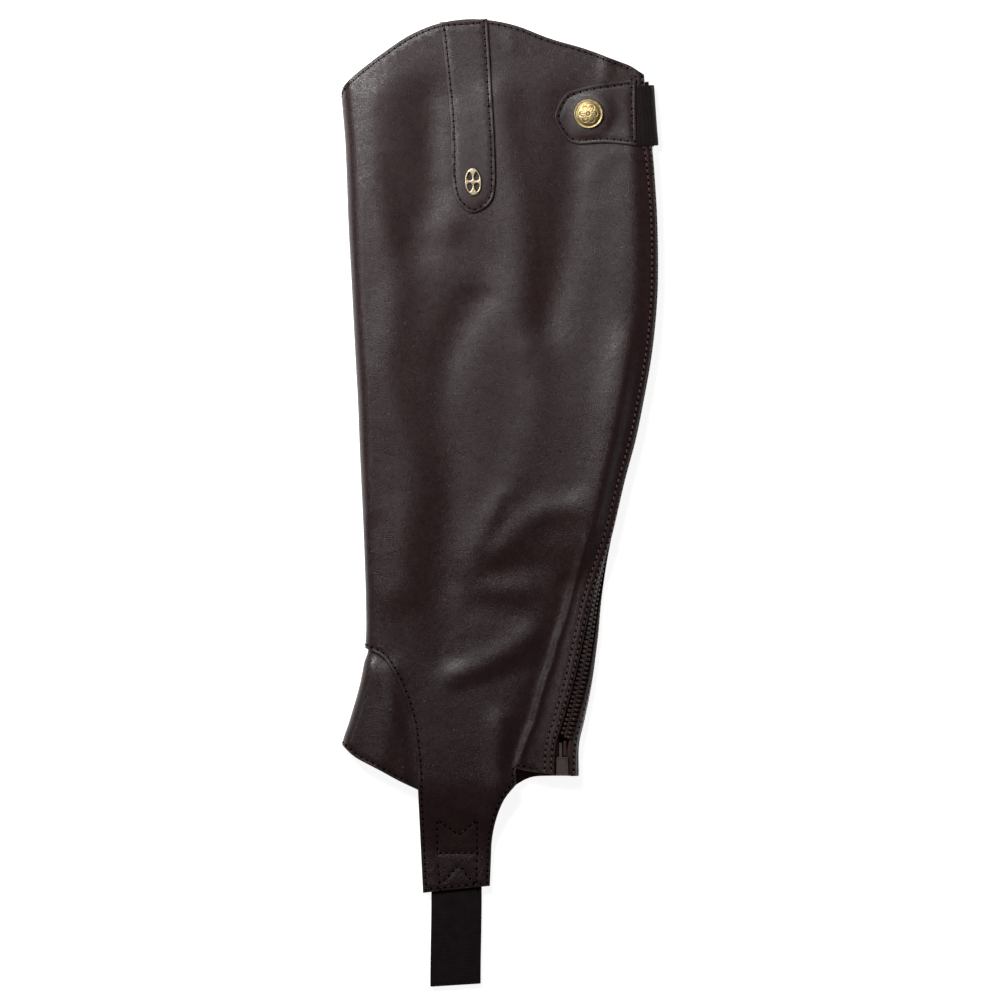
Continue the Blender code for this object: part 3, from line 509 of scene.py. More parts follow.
# %% [markdown]
# ## A shell of leather
# A leather piece is a thin wall with two faces and a cut edge, and each of the three looks different: the
# dyed skin outside, the burnished edge, and the soft flesh side. `shell` cuts the piece from the pattern,
# fills it with points, folds it up, and closes the edge with a small round. The points lie closer where the
# leather bends. Along each row of stitches there are three lines of them, and the middle one is sunk, because
# thread pulls a groove into leather. The places on the flat pattern stay with the mesh as its UV map, so that
# grain and weave run with the piece and not through it.

# %% Points that fill the pieces
ROW_STEP, COLUMN_STEP, HIDDEN_STEP = 2.8, 3.2, 4.4
ROLL_STEP, ROLL_FROM, ROLL_TO, ROLL_CLEAR = 1.6, -QUARTER - 2, QUARTER + 3, 4
PATTERN_FROM, PATTERN_TO = -228.0, 284.0
OUTER_CLEAR, HIDDEN_CLEAR = 29.5, 30.0
BY_ZIP = (6.0, 7.3, 8.6, 10.0, 11.6, 13.4, 15.4, 17.6, 20.0, 22.6, 25.4, 28.4)
CREASE_STEPS = (-4.6, -3.2, -2.0, -1.0, 0.0, 1.0, 2.0, 3.2, 4.6)
CREASE_CLEAR = 5.8


def pattern_grid():
    """Points over the whole pattern, in staggered rows."""
    points = []
    for number, y in enumerate(np.arange(PATTERN_FROM, PATTERN_TO, ROW_STEP)):
        r = ring(y)
        stagger = number % 2 / 2
        past_roll = QUARTER + ROLL_CLEAR
        outer = np.arange(past_roll + stagger * COLUMN_STEP, r.out_run - OUTER_CLEAR, COLUMN_STEP)
        hidden = -np.arange(past_roll + stagger * HIDDEN_STEP, r.in_run - HIDDEN_CLEAR, HIDDEN_STEP)
        roll = np.arange(ROLL_FROM + stagger * ROLL_STEP, ROLL_TO, ROLL_STEP)
        zip_side = [by_zip(side * across, y)[0] for across in BY_ZIP for side in (-1, 1)]
        points += [(run, y) for run in (*outer, *hidden, *roll, *zip_side)]
    return np.array(points)


def spread_of(lines, reach):
    """A search tree over points set close along lines, for asking how far a place is from them."""
    places = [place for line in lines for place in stepped(line, reach)]
    tree = KDTree(len(places))
    for number, (run, y) in enumerate(places):
        tree.insert((run, y, 0.0), number)
    tree.balance()
    return tree


def stepped(line, step):
    """Points at even steps along a line."""
    line = np.array(line)
    gone = gone_along(line)
    at = np.linspace(0.0, gone[-1], max(2, round(gone[-1] / step) + 1))
    return np.stack([np.interp(at, gone, line[:, 0]), np.interp(at, gone, line[:, 1])], axis=1)


def distances(tree, places):
    """How far places are from the lines of a search tree."""
    return np.array([tree.find((run, y, 0.0))[2] for run, y in places])


crease_line = curve(on_outer(CREASE))
crease_points = np.vstack([stepped(beside(crease_line, step), ROW_STEP) for step in CREASE_STEPS])
GRID = pattern_grid()
GRID = GRID[distances(spread_of([crease_line], 1.0), GRID) > CREASE_CLEAR]
GRID = np.vstack([GRID, crease_points])
print("points on the pattern:", len(GRID))

# %% Shells
EDGE_ROUND, CORNER_SHARE = 0.35, 0.3
GROOVE_STEP, GROOVE_HALF, GROOVE_DEEP, GROOVE_WIDE = 1.9, 0.85, 0.32, 0.55
ROW_CLEAR, GROOVE_CLEAR, ROW_SEARCH, MEETS = 1.9, 0.45, 0.4, 1e-4


def walls_between(rings):
    """The faces that join each ring of points to the next."""
    return [(upper[k], lower[k], lower[(k + 1) % len(lower)], upper[(k + 1) % len(upper)])
            for upper, lower in zip(rings, rings[1:]) for k in range(len(upper))]


def pattern_on(mesh, places):
    """Keeps the points' places on the flat pattern with a mesh, as its UV map in metres."""
    corners_of = np.empty(len(mesh.loops), dtype=np.int32)
    mesh.loops.foreach_get("vertex_index", corners_of)
    mesh.uv_layers.new(name="pattern").data.foreach_set("uv", (places[corners_of] * MM).ravel())


def shell(name, loop, looks, thickness, top=0.0, holes=(), rows=(), points=GRID, edge_round=EDGE_ROUND,
          clear=1.0):
    """Cuts a piece from the pattern and folds it up as a closed wall. Its skin lies at the height `top`."""
    loops = [loop, *(hole[::-1] for hole in holes)]
    rims = [inset(item, edge_round) for item in loops]
    sewn = spread_of(rows, ROW_SEARCH) if rows else None
    fill = points
    if rows:
        fill = fill[distances(sewn, fill) > ROW_CLEAR]
        lines = [beside(stepped(row, GROOVE_STEP), side) for row in rows
                 for side in (-GROOVE_HALF, 0, GROOVE_HALF)]
        fill = np.vstack([fill, *lines])
    within, nearest = inside(fill, rims[0])
    keep = within & (nearest > np.where(np.arange(len(fill)) < len(points), clear, GROOVE_CLEAR))
    for rim in rims[1:]:
        in_hole, from_hole = inside(fill, rim)
        keep &= ~in_hole & (from_hole > clear / 2)
    corners, edges = [], []
    for rim in rims:
        first = len(corners)
        corners += [Vector(place) for place in rim]
        edges += [(first + k, first + (k + 1) % len(rim)) for k in range(len(rim))]
    corners += [Vector(place) for place in fill[keep]]
    places, _, faces, origin, *_ = delaunay_2d_cdt(corners, edges, [], 2, MEETS)
    places = np.array(places)
    if holes:
        middles = np.array([places[list(face)].mean(axis=0) for face in faces])
        cut_out = np.any([inside(middles, rim)[0] for rim in rims[1:]], axis=0)
        faces = [face for face, gone in zip(faces, cut_out) if not gone]
    new_number = {old: new for new, olds in enumerate(origin) for old in olds}
    height = top(*places.T) if callable(top) else np.full(len(places), top)
    groove = GROOVE_DEEP * np.exp(-(distances(sewn, places) / GROOVE_WIDE)**2) if rows else 0.0
    count = len(places)
    layers = [form(*places.T, height - groove), form(*places.T, height - thickness)]
    flat = [places, places]
    hem = [np.min([inside(places, item)[1] for item in rims], axis=0)] * 2
    quads, first = [], 2 * count
    corner = edge_round * CORNER_SHARE
    profile = ((corner, corner), (0.0, edge_round), (0.0, thickness - edge_round),
               (corner, thickness - corner))
    start = 0
    for item in loops:
        size = len(item)
        rings = [[new_number[start + k] for k in range(size)]]
        for reach, drop in profile:
            edge = inset(item, reach)
            level = top(*edge.T) if callable(top) else top
            layers.append(form(*edge.T, level - drop))
            flat.append(edge)
            hem.append(np.zeros(size))
            rings.append(list(range(first, first + size)))
            first += size
        rings.append([count + number for number in rings[0]])
        quads += walls_between(rings)
        start += size
    mesh = bpy.data.meshes.new(name)
    walls = [*faces, *([count + k for k in reversed(face)] for face in faces), *quads]
    mesh.from_pydata((np.vstack(layers) * MM).tolist(), [], walls)
    mesh.shade_smooth()
    for look in looks:
        mesh.materials.append(look)
    mesh.polygons.foreach_set("material_index", [0] * len(faces) + [2] * len(faces) + [1] * len(quads))
    pattern_on(mesh, np.vstack(flat))
    mesh.attributes.new("hem", "FLOAT", "POINT").data.foreach_set("value", np.concatenate(hem))
    return placed(name, mesh)


def outwards_faced(mesh):
    """Turns all faces of a closed mesh to its outside."""
    shape = bmesh.new()
    shape.from_mesh(mesh)
    bmesh.ops.recalc_face_normals(shape, faces=shape.faces)
    shape.to_mesh(mesh)
    shape.free()


def size_of(piece):
    piece.data.calc_loop_triangles()
    return f"{piece.name}: {len(piece.data.loop_triangles)} triangles"


# %% [markdown]
# ## Leather
# Smooth cowhide has pores and fine creases between small cells. Over a hand's width the dye and the gloss
# are uneven, and the surface is never quite flat, so a highlight on it has a broken edge. Three small node
# groups hold these effects, and each finish uses them with its own numbers. The first two groups take places
# in millimetres, on the pattern for leather and cloth, and in space for small hard pieces.

# %% Helpers for node trees
def feed(tree, inputs, values):
    """Sets inputs to values, or links them to sockets."""
    for name, value in values.items():
        if isinstance(value, bpy.types.NodeSocket):
            tree.links.new(value, inputs[name])
        else:
            inputs[name].default_value = value


def add(tree, kind, values=(), **settings):
    """Adds a node, with its inputs set to values or linked to sockets."""
    made = tree.nodes.new(kind)
    for name, value in settings.items():
        setattr(made, name, value)
    feed(tree, made.inputs, dict(values))
    return made


def made_by(tree, kind, values=(), **settings):
    """Adds a node and returns its first result."""
    return add(tree, kind, values, **settings).outputs[0]


def use_group(tree, group, values):
    return add(tree, "ShaderNodeGroup", values, node_tree=group).outputs


def math_of(tree, operation, *values):
    return made_by(tree, "ShaderNodeMath", enumerate(values), operation=operation)


def vector_of(tree, operation, values):
    return made_by(tree, "ShaderNodeVectorMath", values, operation=operation)


def noise(tree, place, scale, detail):
    return add(tree, "ShaderNodeTexNoise", {"Vector": place, "Scale": scale, "Detail": detail}).outputs


def ramp(tree, value, low, high, to_low=0.0, to_high=1.0):
    """Maps a range of values smoothly to another."""
    values = {"Value": value, "From Min": low, "From Max": high, "To Min": to_low, "To Max": to_high}
    return add(tree, "ShaderNodeMapRange", values, interpolation_type="SMOOTHSTEP").outputs["Result"]


def new_group(name, inputs, outputs):
    """A group of shader nodes. An input without a value is a place, and all else are numbers."""
    tree = bpy.data.node_groups.new(name, "ShaderNodeTree")
    for label, value in inputs.items():
        kind = "NodeSocketVector" if value is None else "NodeSocketFloat"
        socket = tree.interface.new_socket(label, in_out="INPUT", socket_type=kind)
        if value is not None:
            socket.default_value = value
    for label in outputs:
        tree.interface.new_socket(label, in_out="OUTPUT", socket_type="NodeSocketFloat")
    return tree, tree.nodes.new("NodeGroupInput").outputs, tree.nodes.new("NodeGroupOutput").inputs


def new_material(name, roughness, metallic=0.0, specular=0.5):
    """A material with its tree and its shader."""
    look = bpy.data.materials.new(name)
    look.use_nodes = True
    shader = look.node_tree.nodes["Principled BSDF"]
    shader.inputs["Roughness"].default_value = roughness
    shader.inputs["Metallic"].default_value = metallic
    shader.inputs["Specular IOR Level"].default_value = specular
    return look, look.node_tree, shader


def pattern_mm(tree):
    """The place on the flat pattern, in millimetres."""
    place = add(tree, "ShaderNodeUVMap", uv_map="pattern").outputs["UV"]
    return vector_of(tree, "SCALE", {0: place, "Scale": 1 / MM})


def object_mm(tree):
    """The place in space, in millimetres, for small pieces that have no pattern."""
    place = add(tree, "ShaderNodeTexCoord").outputs["Object"]
    return vector_of(tree, "SCALE", {0: place, "Scale": 1 / MM})


def bump_to(tree, shader, height):
    """Feeds a height in millimetres to the shader."""
    bump = add(tree, "ShaderNodeBump", {"Height": height, "Strength": 1.0, "Distance": MM})
    tree.links.new(bump.outputs["Normal"], shader.inputs["Normal"])


def mixed(tree, factor, first, second):
    """Goes from the first colour to the second as the factor goes from 0 to 1."""
    first, second = (colour if isinstance(colour, bpy.types.NodeSocket) else (*colour, 1.0)
                     for colour in (first, second))
    return add(tree, "ShaderNodeMix", {0: factor, 6: first, 7: second}, data_type="RGBA").outputs[2]


def tinted(colour, strength):
    """A colour made darker or lighter."""
    return tuple(strength * part for part in colour)


def cloudy(tree, shader, size, bump, gloss=None):
    """Mottling in space, for hard pieces, which also makes their surface a little uneven."""
    cloud = use_group(tree, MOTTLING, {"Place": object_mm(tree), "Size": size})
    if gloss:
        tree.links.new(ramp(tree, cloud["Fine"], 0.0, 1.0, *gloss), shader.inputs["Roughness"])
    bump_to(tree, shader, math_of(tree, "MULTIPLY", cloud["Fine"], bump))
    return cloud["Broad"]


print("node helpers ready")

# %% Hide grain, mottling, and the hem edge's wear with its painted highlight
HIDE_GRAIN, given, result = new_group("hide_grain", {"Place": None, "Cell": 1.0, "Depth": 0.03},
                                      ("Height", "Crease", "Speckle"))
cells = vector_of(HIDE_GRAIN, "DIVIDE", {0: given["Place"], 1: given["Cell"]})
bent = noise(HIDE_GRAIN, cells, 0.7, 2.0)["Color"]
shifted = vector_of(HIDE_GRAIN, "MULTIPLY_ADD", {0: bent, 1: (0.9, 0.9, 0.9), 2: cells})
lines = add(HIDE_GRAIN, "ShaderNodeTexVoronoi", {"Vector": shifted, "Scale": 1.0},
            feature="DISTANCE_TO_EDGE", voronoi_dimensions="2D")
crease = ramp(HIDE_GRAIN, lines.outputs["Distance"], 0.0, 0.16, 1.0, 0.0)
height = math_of(HIDE_GRAIN, "SUBTRACT", noise(HIDE_GRAIN, cells, 2.2, 1.0)["Fac"], crease)
pebbles = noise(HIDE_GRAIN, given["Place"], 0.8, 1.0)["Fac"]
feed(HIDE_GRAIN, result, {"Height": math_of(HIDE_GRAIN, "MULTIPLY", height, given["Depth"]), "Crease": crease,
                          "Speckle": ramp(HIDE_GRAIN, pebbles, 0.36, 0.64)})

MOTTLING, given, result = new_group("mottling", {"Place": None, "Size": 20.0}, ("Broad", "Fine"))
scaled = vector_of(MOTTLING, "DIVIDE", {0: given["Place"], 1: given["Size"]})
feed(MOTTLING, result, {"Broad": ramp(MOTTLING, noise(MOTTLING, scaled, 1.0, 3.0)["Fac"], 0.32, 0.68),
                        "Fine": ramp(MOTTLING, noise(MOTTLING, scaled, 5.0, 2.0)["Fac"], 0.3, 0.7)})

# A mask of lightening along a hem edge, broken by noise: partly wear, partly a painted edge highlight.
WORN_AND_HIGHLIT_EDGE, given, result = new_group("worn_edge", {"Distance": 1.0, "Reach": 1.6, "Broken": 0.5}, ("Mask",))
near = ramp(WORN_AND_HIGHLIT_EDGE, math_of(WORN_AND_HIGHLIT_EDGE, "DIVIDE", given["Distance"], given["Reach"]), 0.0, 1.0, 1.0, 0.0)
feed(WORN_AND_HIGHLIT_EDGE, result, {"Mask": math_of(WORN_AND_HIGHLIT_EDGE, "MULTIPLY", near, given["Broken"])})
print("groups:", [group.name for group in bpy.data.node_groups])


# %% Brown leather
def brown_leather(name, base, warm, roughness, undulation=0.10):
    """The dyed skin: satin, with grain, uneven dye, and a hem edge lightened partly by wear and partly by a
    painted highlight.
    """
    look, tree, shader = new_material(name, roughness)
    place = pattern_mm(tree)
    hide = use_group(tree, HIDE_GRAIN, {"Place": place, "Cell": 1.05, "Depth": 0.035})
    cloud = use_group(tree, MOTTLING, {"Place": place, "Size": 22.0})
    hem = add(tree, "ShaderNodeAttribute", attribute_name="hem").outputs["Fac"]
    wear_and_highlight = use_group(tree, WORN_AND_HIGHLIT_EDGE, {"Distance": hem, "Reach": 1.2, "Broken": cloud["Fine"]})["Mask"]
    colour = mixed(tree, cloud["Broad"], base, warm)
    colour = mixed(tree, math_of(tree, "MULTIPLY", hide["Crease"], 0.35), colour, tinted(base, 0.45))
    dark = math_of(tree, "MULTIPLY_ADD", hide["Speckle"], -0.55, 0.55)
    colour = mixed(tree, dark, colour, tinted(base, 0.35))
    # Near the hem the colour is lightened: partly wear, partly a painted highlight along the edge.
    colour = mixed(tree, math_of(tree, "MULTIPLY", wear_and_highlight, 0.5), colour, tinted(warm, 2.0))
    gloss = ramp(tree, cloud["Fine"], 0.0, 1.0, roughness - 0.04, roughness + 0.05)
    gloss = math_of(tree, "MULTIPLY_ADD", hide["Speckle"], -0.14, gloss)
    gloss = math_of(tree, "MULTIPLY_ADD", hide["Crease"], 0.1, gloss)
    feed(tree, shader.inputs, {"Base Color": colour, "Roughness": gloss})
    wave = math_of(tree, "MULTIPLY", cloud["Broad"], undulation)
    ripple = math_of(tree, "MULTIPLY_ADD", cloud["Fine"], undulation * 0.22, wave)
    bump_to(tree, shader, math_of(tree, "ADD", hide["Height"], ripple))
    return look


def leather_edge(name, base):
    """The cut and burnished edge."""
    look, tree, shader = new_material(name, 0.5)
    cloud = cloudy(tree, shader, 3.0, 0.05)
    tree.links.new(mixed(tree, cloud, base, tinted(base, 1.7)), shader.inputs["Base Color"])
    return look


def leather_flesh(name, base):
    """The soft side that lies on the leg: brushed fibres, without gloss."""
    look, tree, shader = new_material(name, 0.95, specular=0.2)
    place = pattern_mm(tree)
    cloud = use_group(tree, MOTTLING, {"Place": place, "Size": 9.0})["Broad"]
    fibre = noise(tree, place, 3.5, 3.0)["Fac"]
    tree.links.new(mixed(tree, cloud, base, tinted(base, 1.5)), shader.inputs["Base Color"])
    bump_to(tree, shader, math_of(tree, "MULTIPLY", fibre, 0.12))
    return look


SKIN = brown_leather("brown_skin", (0.0335, 0.0142, 0.0152), (0.0395, 0.0168, 0.0174), 0.385)
STRAP_SKIN = brown_leather("strap_skin", (0.0352, 0.0162, 0.0172), (0.0412, 0.0187, 0.0194), 0.41,
                           undulation=0.07)
CUT_EDGE = leather_edge("cut_edge", (0.016, 0.0105, 0.0095))
FLESH = leather_flesh("flesh_side", (0.120, 0.080, 0.064))
LEATHERS = (SKIN, CUT_EDGE, FLESH)
STRAP_LEATHERS = (STRAP_SKIN, CUT_EDGE, FLESH)
print("leathers:", SKIN.name, STRAP_SKIN.name, CUT_EDGE.name, FLESH.name)

# %% [markdown]
# ## The leg panel
# One cut of leather makes the outer side, the front of the shin, the inner side and both tongues, so it is
# one shell with one outline: up beside the zip, over the raised top, down the inner side, round both tongues
# and over the instep. The rows of stitches are planned here too, because each sinks a groove into it.

# %% Rows of stitches on the leg panel
HEM_INSET, SEAM_INSET, EDGE_STEP = 1.9, 2.1, 3.0
ZIP_ROWS = (6.6, 10.4)
ZIP_ROW_FROM, ZIP_ROW_TO = -154.6, 243.0
INNER_ROW_FROM, INNER_ROW_TO = -155.4, 238.0

outer_zip_edge = along_zip(-LEATHER_EDGE, ZIP_FOOT, ZIP_TOP)
inner_zip_edge = along_zip(LEATHER_EDGE, INNER_ZIP_TOP, ZIP_BOTTOM)
tongue_end = straight(*on_outer((TONGUE_FRONT[0], TONGUE_BACK[-1])))
tongue_side = straight(*on_outer(reversed(TONGUE_FRONT)))
inner_tongue_end = straight(*on_inner((TONGUE_BACK[-1], TONGUE_FRONT[0])))
inner_tongue_side = straight(*on_inner(TONGUE_FRONT))


def mirrored(line):
    """The same line on the inner side."""
    return [(-run, y) for run, y in line]


def row_beside(line, distance, start=1, end=1):
    """A row beside an edge. Points are left out at its ends, so that rows don't cross at the corners."""
    return beside(line, distance)[start:len(line) - end]


top_edge = stepped(np.vstack([top_hem, inner_hem[1:]]), EDGE_STEP)
foot_edge = stepped(np.vstack([tongue, outer_arch[1:], outer_foot[1:]]), EDGE_STEP)
inner_foot_edge = stepped(np.vstack([inner_arch, inner_tongue[1:]]), EDGE_STEP)
top_row = row_beside(top_edge, HEM_INSET, 3, 3)
zip_rows = [along_zip(-across, ZIP_ROW_FROM, ZIP_ROW_TO) for across in ZIP_ROWS]
inner_zip_rows = [along_zip(across, INNER_ROW_FROM, INNER_ROW_TO) for across in ZIP_ROWS]
seam_row = beside(stepped(vamp_seam, EDGE_STEP), SEAM_INSET)
foot_row = row_beside(foot_edge, HEM_INSET, 1, 4)
tongue_end_row = row_beside(tongue_end, HEM_INSET)
tongue_side_row = row_beside(tongue_side, HEM_INSET, 0, 1)
inner_foot_row = row_beside(inner_foot_edge, HEM_INSET, 4, 1)
inner_end_row = row_beside(inner_tongue_end, HEM_INSET)
inner_side_row = row_beside(inner_tongue_side, HEM_INSET, 1, 0)
HEM_ROWS = [top_row, foot_row, tongue_end_row, tongue_side_row, inner_foot_row, inner_end_row, inner_side_row]
print("rows on the panel:", len(HEM_ROWS) + len(zip_rows) + len(inner_zip_rows) + 1)

# %% Sewing that holds the strap in the tongue
# Two boxes with a slanted cross in each keep a strap from tearing out. Places are x and y on the tongue.
BOX_STEP = 1.8
STRAP_BOXES = (
    ((-35.4, -182.9), (-23.3, -191.2), (-13.2, -182.9)),
    ((-35.7, -182.6), (-35.7, -201.6)),
    ((-12.9, -182.6), (-12.9, -204.4)),
    ((-35.7, -201.6), (-14.0, -201.6)),
    ((-35.4, -207.9), (-34.2, -221.1)),
    ((-13.2, -209.0), (-13.2, -220.2)),
    ((-32.5, -218.6), (-23.9, -209.0), (-15.8, -217.6)),
)
box_rows = [np.vstack([straight(*on_outer(ends), BOX_STEP) for ends in zip(line, line[1:])])
            for line in STRAP_BOXES]
inner_box_rows = [mirrored(row) for row in box_rows]
print("rows in the tongue's boxes:", len(box_rows) + len(inner_box_rows))

# %% Cut and fold the leg panel
panel_loop = closed(outer_zip_edge, top_hem, inner_hem, inner_zip_edge, inner_arch, inner_tongue,
                    inner_tongue_end, inner_tongue_side, vamp_seam, tongue_side, tongue_end, tongue,
                    outer_arch, outer_foot)
panel_rows = [*HEM_ROWS, *zip_rows, *inner_zip_rows, seam_row, *box_rows, *inner_box_rows]
leg_panel = shell("leg_panel_leather", panel_loop, LEATHERS, LEATHER, rows=panel_rows)


def dressed(piece, slot_name, *nodes):
    """A finished piece rides on the chap's one body and stands for its solids."""
    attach(piece, "root")
    if nodes:
        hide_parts(*nodes)


def cut_size(loop):
    """The rectangle a piece is cut from, and its area, in metres."""
    width, length = (loop.max(axis=0) - loop.min(axis=0)) * MM
    return (width, length), area_of(loop) * MM * MM


def cut_note(piece, flat):
    return f"{size_of(piece)} cut in mm: {[round(side / MM) for side in flat]}"


dressed(leg_panel, "leather", "leg_panel")
flat, area = cut_size(panel_loop)
print(cut_note(leg_panel, flat), "area in cm2:", round(area * 1e4))

# %% [markdown]
# ## The vamp
# The instep piece is folded round the front of the foot. Its upper edge lies under the leg panel, so it is
# set one leather deeper there, and comes up to the chap's surface a few millimetres below the seam.

# %% Vamp
FAR_BELOW, LAP_CORNER = -400.0, 0.4
UNDER_PANEL = -(LEATHER + 0.55)
RISE, RISE_FROM, RISE_OVER = LEATHER - 0.1, 1.5, 7.0
BESIDE_SEAM, BESIDE_SEAM_STEP, BESIDE_SEAM_CLEAR = (-1.2, -2.8, -4.6, -6.6, -8.8, 2.4, 5.0), 2.4, 9.6

seam_end_run, seam_end_y = seam_side[0]
seam_loop = np.array([*vamp_seam, (seam_end_run, FAR_BELOW), (-seam_end_run, FAR_BELOW)])
seam_tree = spread_of([vamp_seam], 0.5)


def vamp_top(run, y):
    """The height of the vamp's skin: one leather deep under the panel, and rising below the seam."""
    places = np.stack([run, y], axis=1)
    shown, _ = inside(places, seam_loop)
    rise = np.where(shown, eased((distances(seam_tree, places) - RISE_FROM) / RISE_OVER), 0.0)
    return UNDER_PANEL + RISE * rise


hem_side = on_outer(VAMP_HEM)
foot_hem = curve([*hem_side, (0.0, VAMP_TOE), *mirrored(reversed(hem_side))])
lap_edge = beside(stepped(vamp_seam, EDGE_STEP), LAP)
vamp_loop = closed(lap_edge, [(seam_end_run + LAP, seam_end_y - LAP_CORNER)], foot_hem,
                   [(-seam_end_run - LAP, seam_end_y - LAP_CORNER)])
vamp_row = row_beside(stepped(foot_hem, EDGE_STEP), -HEM_INSET, 2, 2)
beside_seam = [beside(stepped(vamp_seam, BESIDE_SEAM_STEP), side) for side in BESIDE_SEAM]
vamp_points = np.vstack([GRID[distances(seam_tree, GRID) > BESIDE_SEAM_CLEAR], *beside_seam])
vamp = shell("vamp_leather", vamp_loop, LEATHERS, VAMP_LEATHER, top=vamp_top, rows=[vamp_row],
             points=vamp_points)
dressed(vamp, "leather", "vamp")
flat, area = cut_size(vamp_loop)
print(cut_note(vamp, flat))

# %% [markdown]
# ## The two straps on the outer side
# A strap is laid down the front of the raised top, sewn all round, and carries a small ornament. A second one
# closes the chap over the top of the zip. It is stiff, and it rises to the press stud under its cap.

# %% Strap down the top
TOP_TAB_SIDES = ((-34.2, 276.2), (-31.0, 247.0), (-29.0, 227.4), (-27.9, 205.0), (-27.6, 187.0),
                 (-25.0, 174.5), (-16.4, 166.5), (-5.5, 171.6), (-2.3, 182.6), (-2.6, 205.0), (-3.7, 226.3),
                 (-4.9, 247.0), (-6.9, 278.2))
TAB_INSET, CLOSURE_INSET = 2.2, 2.3

tab_sides = curve(on_outer(TOP_TAB_SIDES))
tab_end = straight(tab_sides[-1], tab_sides[0])
tab_row = row_beside(stepped(tab_sides, EDGE_STEP), TAB_INSET)
tab_end_row = row_beside(tab_end, TAB_INSET)
tab_loop = closed(tab_sides, tab_end)
tab_rows = [tab_row, tab_end_row]
top_tab = shell("top_tab_leather", tab_loop, STRAP_LEATHERS, LEATHER, top=LAID_ON + LEATHER, rows=tab_rows)
dressed(top_tab, "leather", "top_tab")
flat, area = cut_size(tab_loop)
print(cut_note(top_tab, flat))

# %% Closure strap
CLOSURE_TAB_BACK, CLOSURE_LOW, CLOSURE_HIGH = 78.5, 205.0, 239.8
CLOSURE_TAB_TOP, CLOSURE_TAB_LOW = (CLOSURE_TAB_BACK, 243.6), (CLOSURE_TAB_BACK, CLOSURE_LOW)
CLOSURE_TAB_SIDES = (CLOSURE_TAB_TOP, (56.1, 240.6), (44.3, 237.8), (37.1, 234.3), (31.9, 224.5),
                     (31.9, 219.5), (37.1, 210.3), (44.3, 206.1), (61.2, 206.7), CLOSURE_TAB_LOW)
SNAP_AT, SNAP_RADIUS, STUD_HEIGHT, STRAP_BEND = (51.8, 223.4), 8.6, 1.5, 6.0

snap_middle, _, _, snap_out = (np.ravel(part) for part in frame_at(*over(*SNAP_AT)))


def closure_base(run, y):
    """The height of the strap's flesh side: low at its hem, and level under the cap."""
    point = skin(run, y)
    level = ((snap_middle + snap_out * STUD_HEIGHT - point) * snap_out).sum(axis=-1)
    away = np.linalg.norm(point - snap_middle, axis=-1)
    return LAID_ON + (level - LAID_ON) * (1 - eased((away - SNAP_RADIUS - 1) / STRAP_BEND))


closure_sides = curve(on_outer(CLOSURE_TAB_SIDES))
closure_back = straight(*on_outer((CLOSURE_TAB_LOW, CLOSURE_TAB_TOP)))
closure_loop = closed(closure_sides, closure_back)
closure_row = row_beside(stepped(closure_sides, EDGE_STEP), CLOSURE_INSET)
closure_back_row = row_beside(closure_back, CLOSURE_INSET)
closure_rows = [closure_row, closure_back_row]
closure_tab = shell("closure_tab_leather", closure_loop, STRAP_LEATHERS, TAB_LEATHER,
                    top=lambda run, y: closure_base(run, y) + TAB_LEATHER, rows=closure_rows)
dressed(closure_tab, "leather", "closure_tab")
flat, area = cut_size(closure_loop)
print(cut_note(closure_tab, flat))

# %% [markdown]
# ## Elastic and zip tape
# Both are woven. Elastic has rubber cords along it and fine ribs across it. Tape is a flat close weave. One
# node group draws a weave from two sets of cords, on the pattern's millimetres, and paints shade into the
# gaps.

# %% Woven finishes
WEAVE, given, result = new_group("cord_weave", {"Place": None, "Across": 1.0, "Along": 1.0, "Slant": 0.0,
                                                "Depth": 0.1}, ("Height", "Gap"))
sides = add(WEAVE, "ShaderNodeSeparateXYZ", {"Vector": given["Place"]}).outputs
slanted = math_of(WEAVE, "MULTIPLY_ADD", sides["X"], given["Slant"], sides["Y"])
rib, cord = (math_of(WEAVE, "ABSOLUTE", math_of(WEAVE, "SINE", math_of(
    WEAVE, "DIVIDE", math_of(WEAVE, "MULTIPLY", way, math.pi), given[label])))
    for way, label in ((slanted, "Across"), (sides["X"], "Along")))
woven = math_of(WEAVE, "MULTIPLY_ADD", cord, 0.45, math_of(WEAVE, "MULTIPLY", rib, 0.55))
# The second result is painted shade: 1 in the gaps between cords, 0 on their tops.
feed(WEAVE, result, {"Height": math_of(WEAVE, "MULTIPLY", woven, given["Depth"]),
                     "Gap": ramp(WEAVE, woven, 0.15, 0.75, 1.0, 0.0)})


def woven_look(name, base, across, along, slant, depth):
    """Cords and ribs, with painted shade darkening the gaps between them, and a little fluff that breaks the
    colour.
    """
    look, tree, shader = new_material(name, 0.85, specular=0.12)
    shader.inputs["Sheen Weight"].default_value = 0.03
    place = pattern_mm(tree)
    weave = use_group(tree, WEAVE, {"Place": place, "Across": across, "Along": along, "Slant": slant,
                                    "Depth": depth})
    cloud = use_group(tree, MOTTLING, {"Place": place, "Size": 6.0})
    colour = mixed(tree, cloud["Broad"], base, tinted(base, 1.35))
    # Painted shade: the colour is darkened in the gaps between cords.
    colour = mixed(tree, math_of(tree, "MULTIPLY", weave["Gap"], 0.7), colour, tinted(base, 0.3))
    tree.links.new(colour, shader.inputs["Base Color"])
    bump_to(tree, shader, weave["Height"])
    return look


BLACK_ELASTIC = woven_look("black_elastic", (0.0165, 0.0108, 0.0118), 1.15, 0.8, 0.0, 0.24)
CLOSURE_WEAVE = woven_look("closure_weave", (0.0175, 0.0118, 0.0122), 1.9, 1.5, 0.8, 0.34)
DARK_TAPE = woven_look("tape_weave", (0.0720, 0.0370, 0.0340), 0.8, 0.8, 0.5, 0.10)
print("weaves:", BLACK_ELASTIC.name, CLOSURE_WEAVE.name, DARK_TAPE.name)

